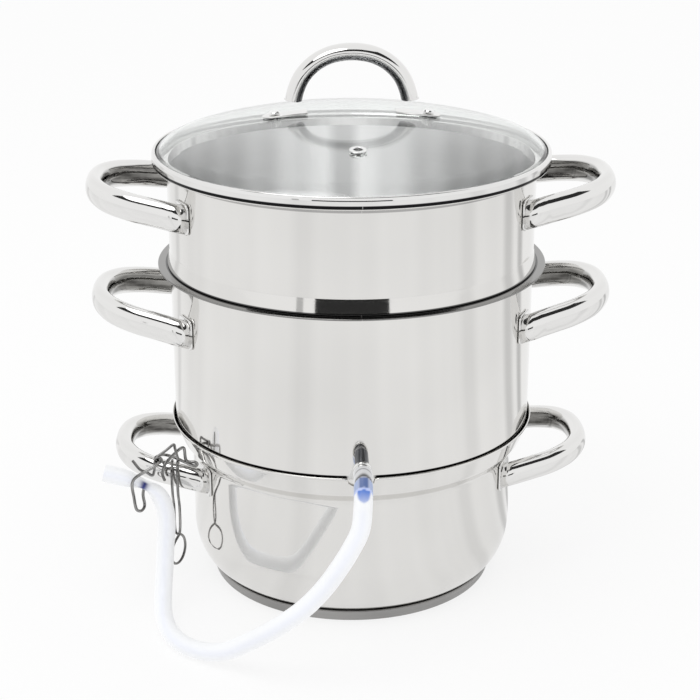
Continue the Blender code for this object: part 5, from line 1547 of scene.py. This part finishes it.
def stage_piece(name, verts, faces, finish):
    """A piece of the studio."""
    mesh = bpy.data.meshes.new(name)
    mesh.from_pydata(verts, [], faces)
    mesh.materials.append(finish)
    made = bpy.data.objects.new(name, mesh)
    bpy.context.scene.collection.objects.link(made)
    return made


floor_finish, nodes, links, shader = new_finish("floor", (0.90, 0.90, 0.90), 0.9, 0.0)
glow = nodes.new("ShaderNodeEmission")
glow.inputs["Color"].default_value = (1.0, 1.0, 1.0, 1.0)
blend = nodes.new("ShaderNodeMixShader")
place = nodes.new("ShaderNodeTexCoord")
apart = nodes.new("ShaderNodeSeparateXYZ")
links.new(place.outputs["Object"], apart.inputs["Vector"])
turn = nodes.new("ShaderNodeMath")
turn.operation = "ARCTAN2"
links.new(apart.outputs["X"], turn.inputs[0])
links.new(apart.outputs["Y"], turn.inputs[1])
unit = nodes.new("ShaderNodeVectorMath")
unit.operation = "NORMALIZE"
links.new(place.outputs["Object"], unit.inputs[0])
soft = nodes.new("ShaderNodeTexNoise")
soft.inputs["Scale"].default_value = 2.6
soft.inputs["Detail"].default_value = 2.0
links.new(unit.outputs["Vector"], soft.inputs["Vector"])
level = ranged(nodes, links, soft.outputs["Fac"], 0.35, 0.65, 0.93, 1.0)
for azimuth, half_wide, deep in ROOM_STREAKS:
    off = nodes.new("ShaderNodeMath")
    off.operation = "SUBTRACT"
    off.inputs[1].default_value = radians(azimuth)
    links.new(turn.outputs["Value"], off.inputs[0])
    size = nodes.new("ShaderNodeMath")
    size.operation = "ABSOLUTE"
    links.new(off.outputs["Value"], size.inputs[0])
    streak = ranged(nodes, links, size.outputs["Value"], 0.3 * radians(half_wide), radians(half_wide), 1 - deep, 1.0)
    both = nodes.new("ShaderNodeMath")
    both.operation = "MULTIPLY"
    links.new(level, both.inputs[0])
    links.new(streak, both.inputs[1])
    level = both.outputs["Value"]
path = nodes.new("ShaderNodeLightPath")
strength = nodes.new("ShaderNodeMath")
strength.operation = "MAXIMUM"
links.new(path.outputs["Is Camera Ray"], strength.inputs[0])
links.new(level, strength.inputs[1])
links.new(strength.outputs["Value"], glow.inputs["Strength"])
kept = nodes.new("ShaderNodeMath")
kept.operation = "MULTIPLY"
kept.inputs[1].default_value = 0.80
links.new(seen_share(nodes, links), kept.inputs[0])
links.new(kept.outputs["Value"], blend.inputs["Fac"])
links.new(shader.outputs["BSDF"], blend.inputs[1])
links.new(glow.outputs["Emission"], blend.inputs[2])
links.new(blend.outputs["Shader"], nodes["Material Output"].inputs["Surface"])
half = FLOOR_HALF
floor = stage_piece(
    "floor", [(-half, -half, 0.0), (half, -half, 0.0), (half, half, 0.0), (-half, half, 0.0)], [(0, 1, 2, 3)], floor_finish
)


def dark_card(name, azimuths, elevations, grey):
    """Part of a ball round the juicer, given by its azimuths from -Y and its elevations, in degrees.
    Only mirror rays meet it."""
    turn, lift = np.meshgrid(np.radians(np.linspace(*azimuths, 24)), np.radians(np.linspace(*elevations, 16)))
    way = np.stack([np.sin(turn) * np.cos(lift), -np.cos(turn) * np.cos(lift), np.sin(lift)], axis=-1)
    index = np.arange(24 * 16).reshape(16, 24)
    faces = np.stack([index[:-1, :-1], index[:-1, 1:], index[1:, 1:], index[1:, :-1]], axis=-1)
    finish = bpy.data.materials.new(name)
    finish.use_nodes = True
    finish.node_tree.nodes.clear()
    glow = finish.node_tree.nodes.new("ShaderNodeEmission")
    glow.inputs["Color"].default_value = (grey, grey, grey, 1.0)
    out = finish.node_tree.nodes.new("ShaderNodeOutputMaterial")
    finish.node_tree.links.new(glow.outputs["Emission"], out.inputs["Surface"])
    centre = np.array([0.0, 0.0, 0.2])
    card = stage_piece(name, (centre + ROOM_R * way).reshape(-1, 3).tolist(), faces.reshape(-1, 4).tolist(), finish)
    card.visible_camera = False
    card.visible_diffuse = False
    card.visible_shadow = False
    card.visible_transmission = False
    return card


dark_card("card_upper", (-75, 75), (34, 62), 0.03)
dark_card("card_middle", (-24, 19), (-3, 6), 0.03)
dark_card("card_side", (-35, -31), (-3, 8), 0.55)

world = bpy.data.worlds.new("room")
world.use_nodes = True
bpy.context.scene.world = world
nodes, links = world.node_tree.nodes, world.node_tree.links
room = colour_mix(nodes, links, seen_share(nodes, links), (LIGHT_LEVEL, LIGHT_LEVEL, LIGHT_LEVEL), (1.0, 1.0, 1.0))
links.new(room, nodes["Background"].inputs["Color"])

lamp = bpy.data.objects.new("soft_lamp", bpy.data.lights.new("soft_lamp", "AREA"))
lamp.data.shape = "DISK"
lamp.data.size = 1.1
lamp.data.energy = 6.0
lamp.location = (-0.55, -0.55, 1.75)
lamp.rotation_euler = (radians(24), radians(-18), 0.0)
bpy.context.scene.collection.objects.link(lamp)
bpy.context.scene.view_settings.view_transform = "Standard"
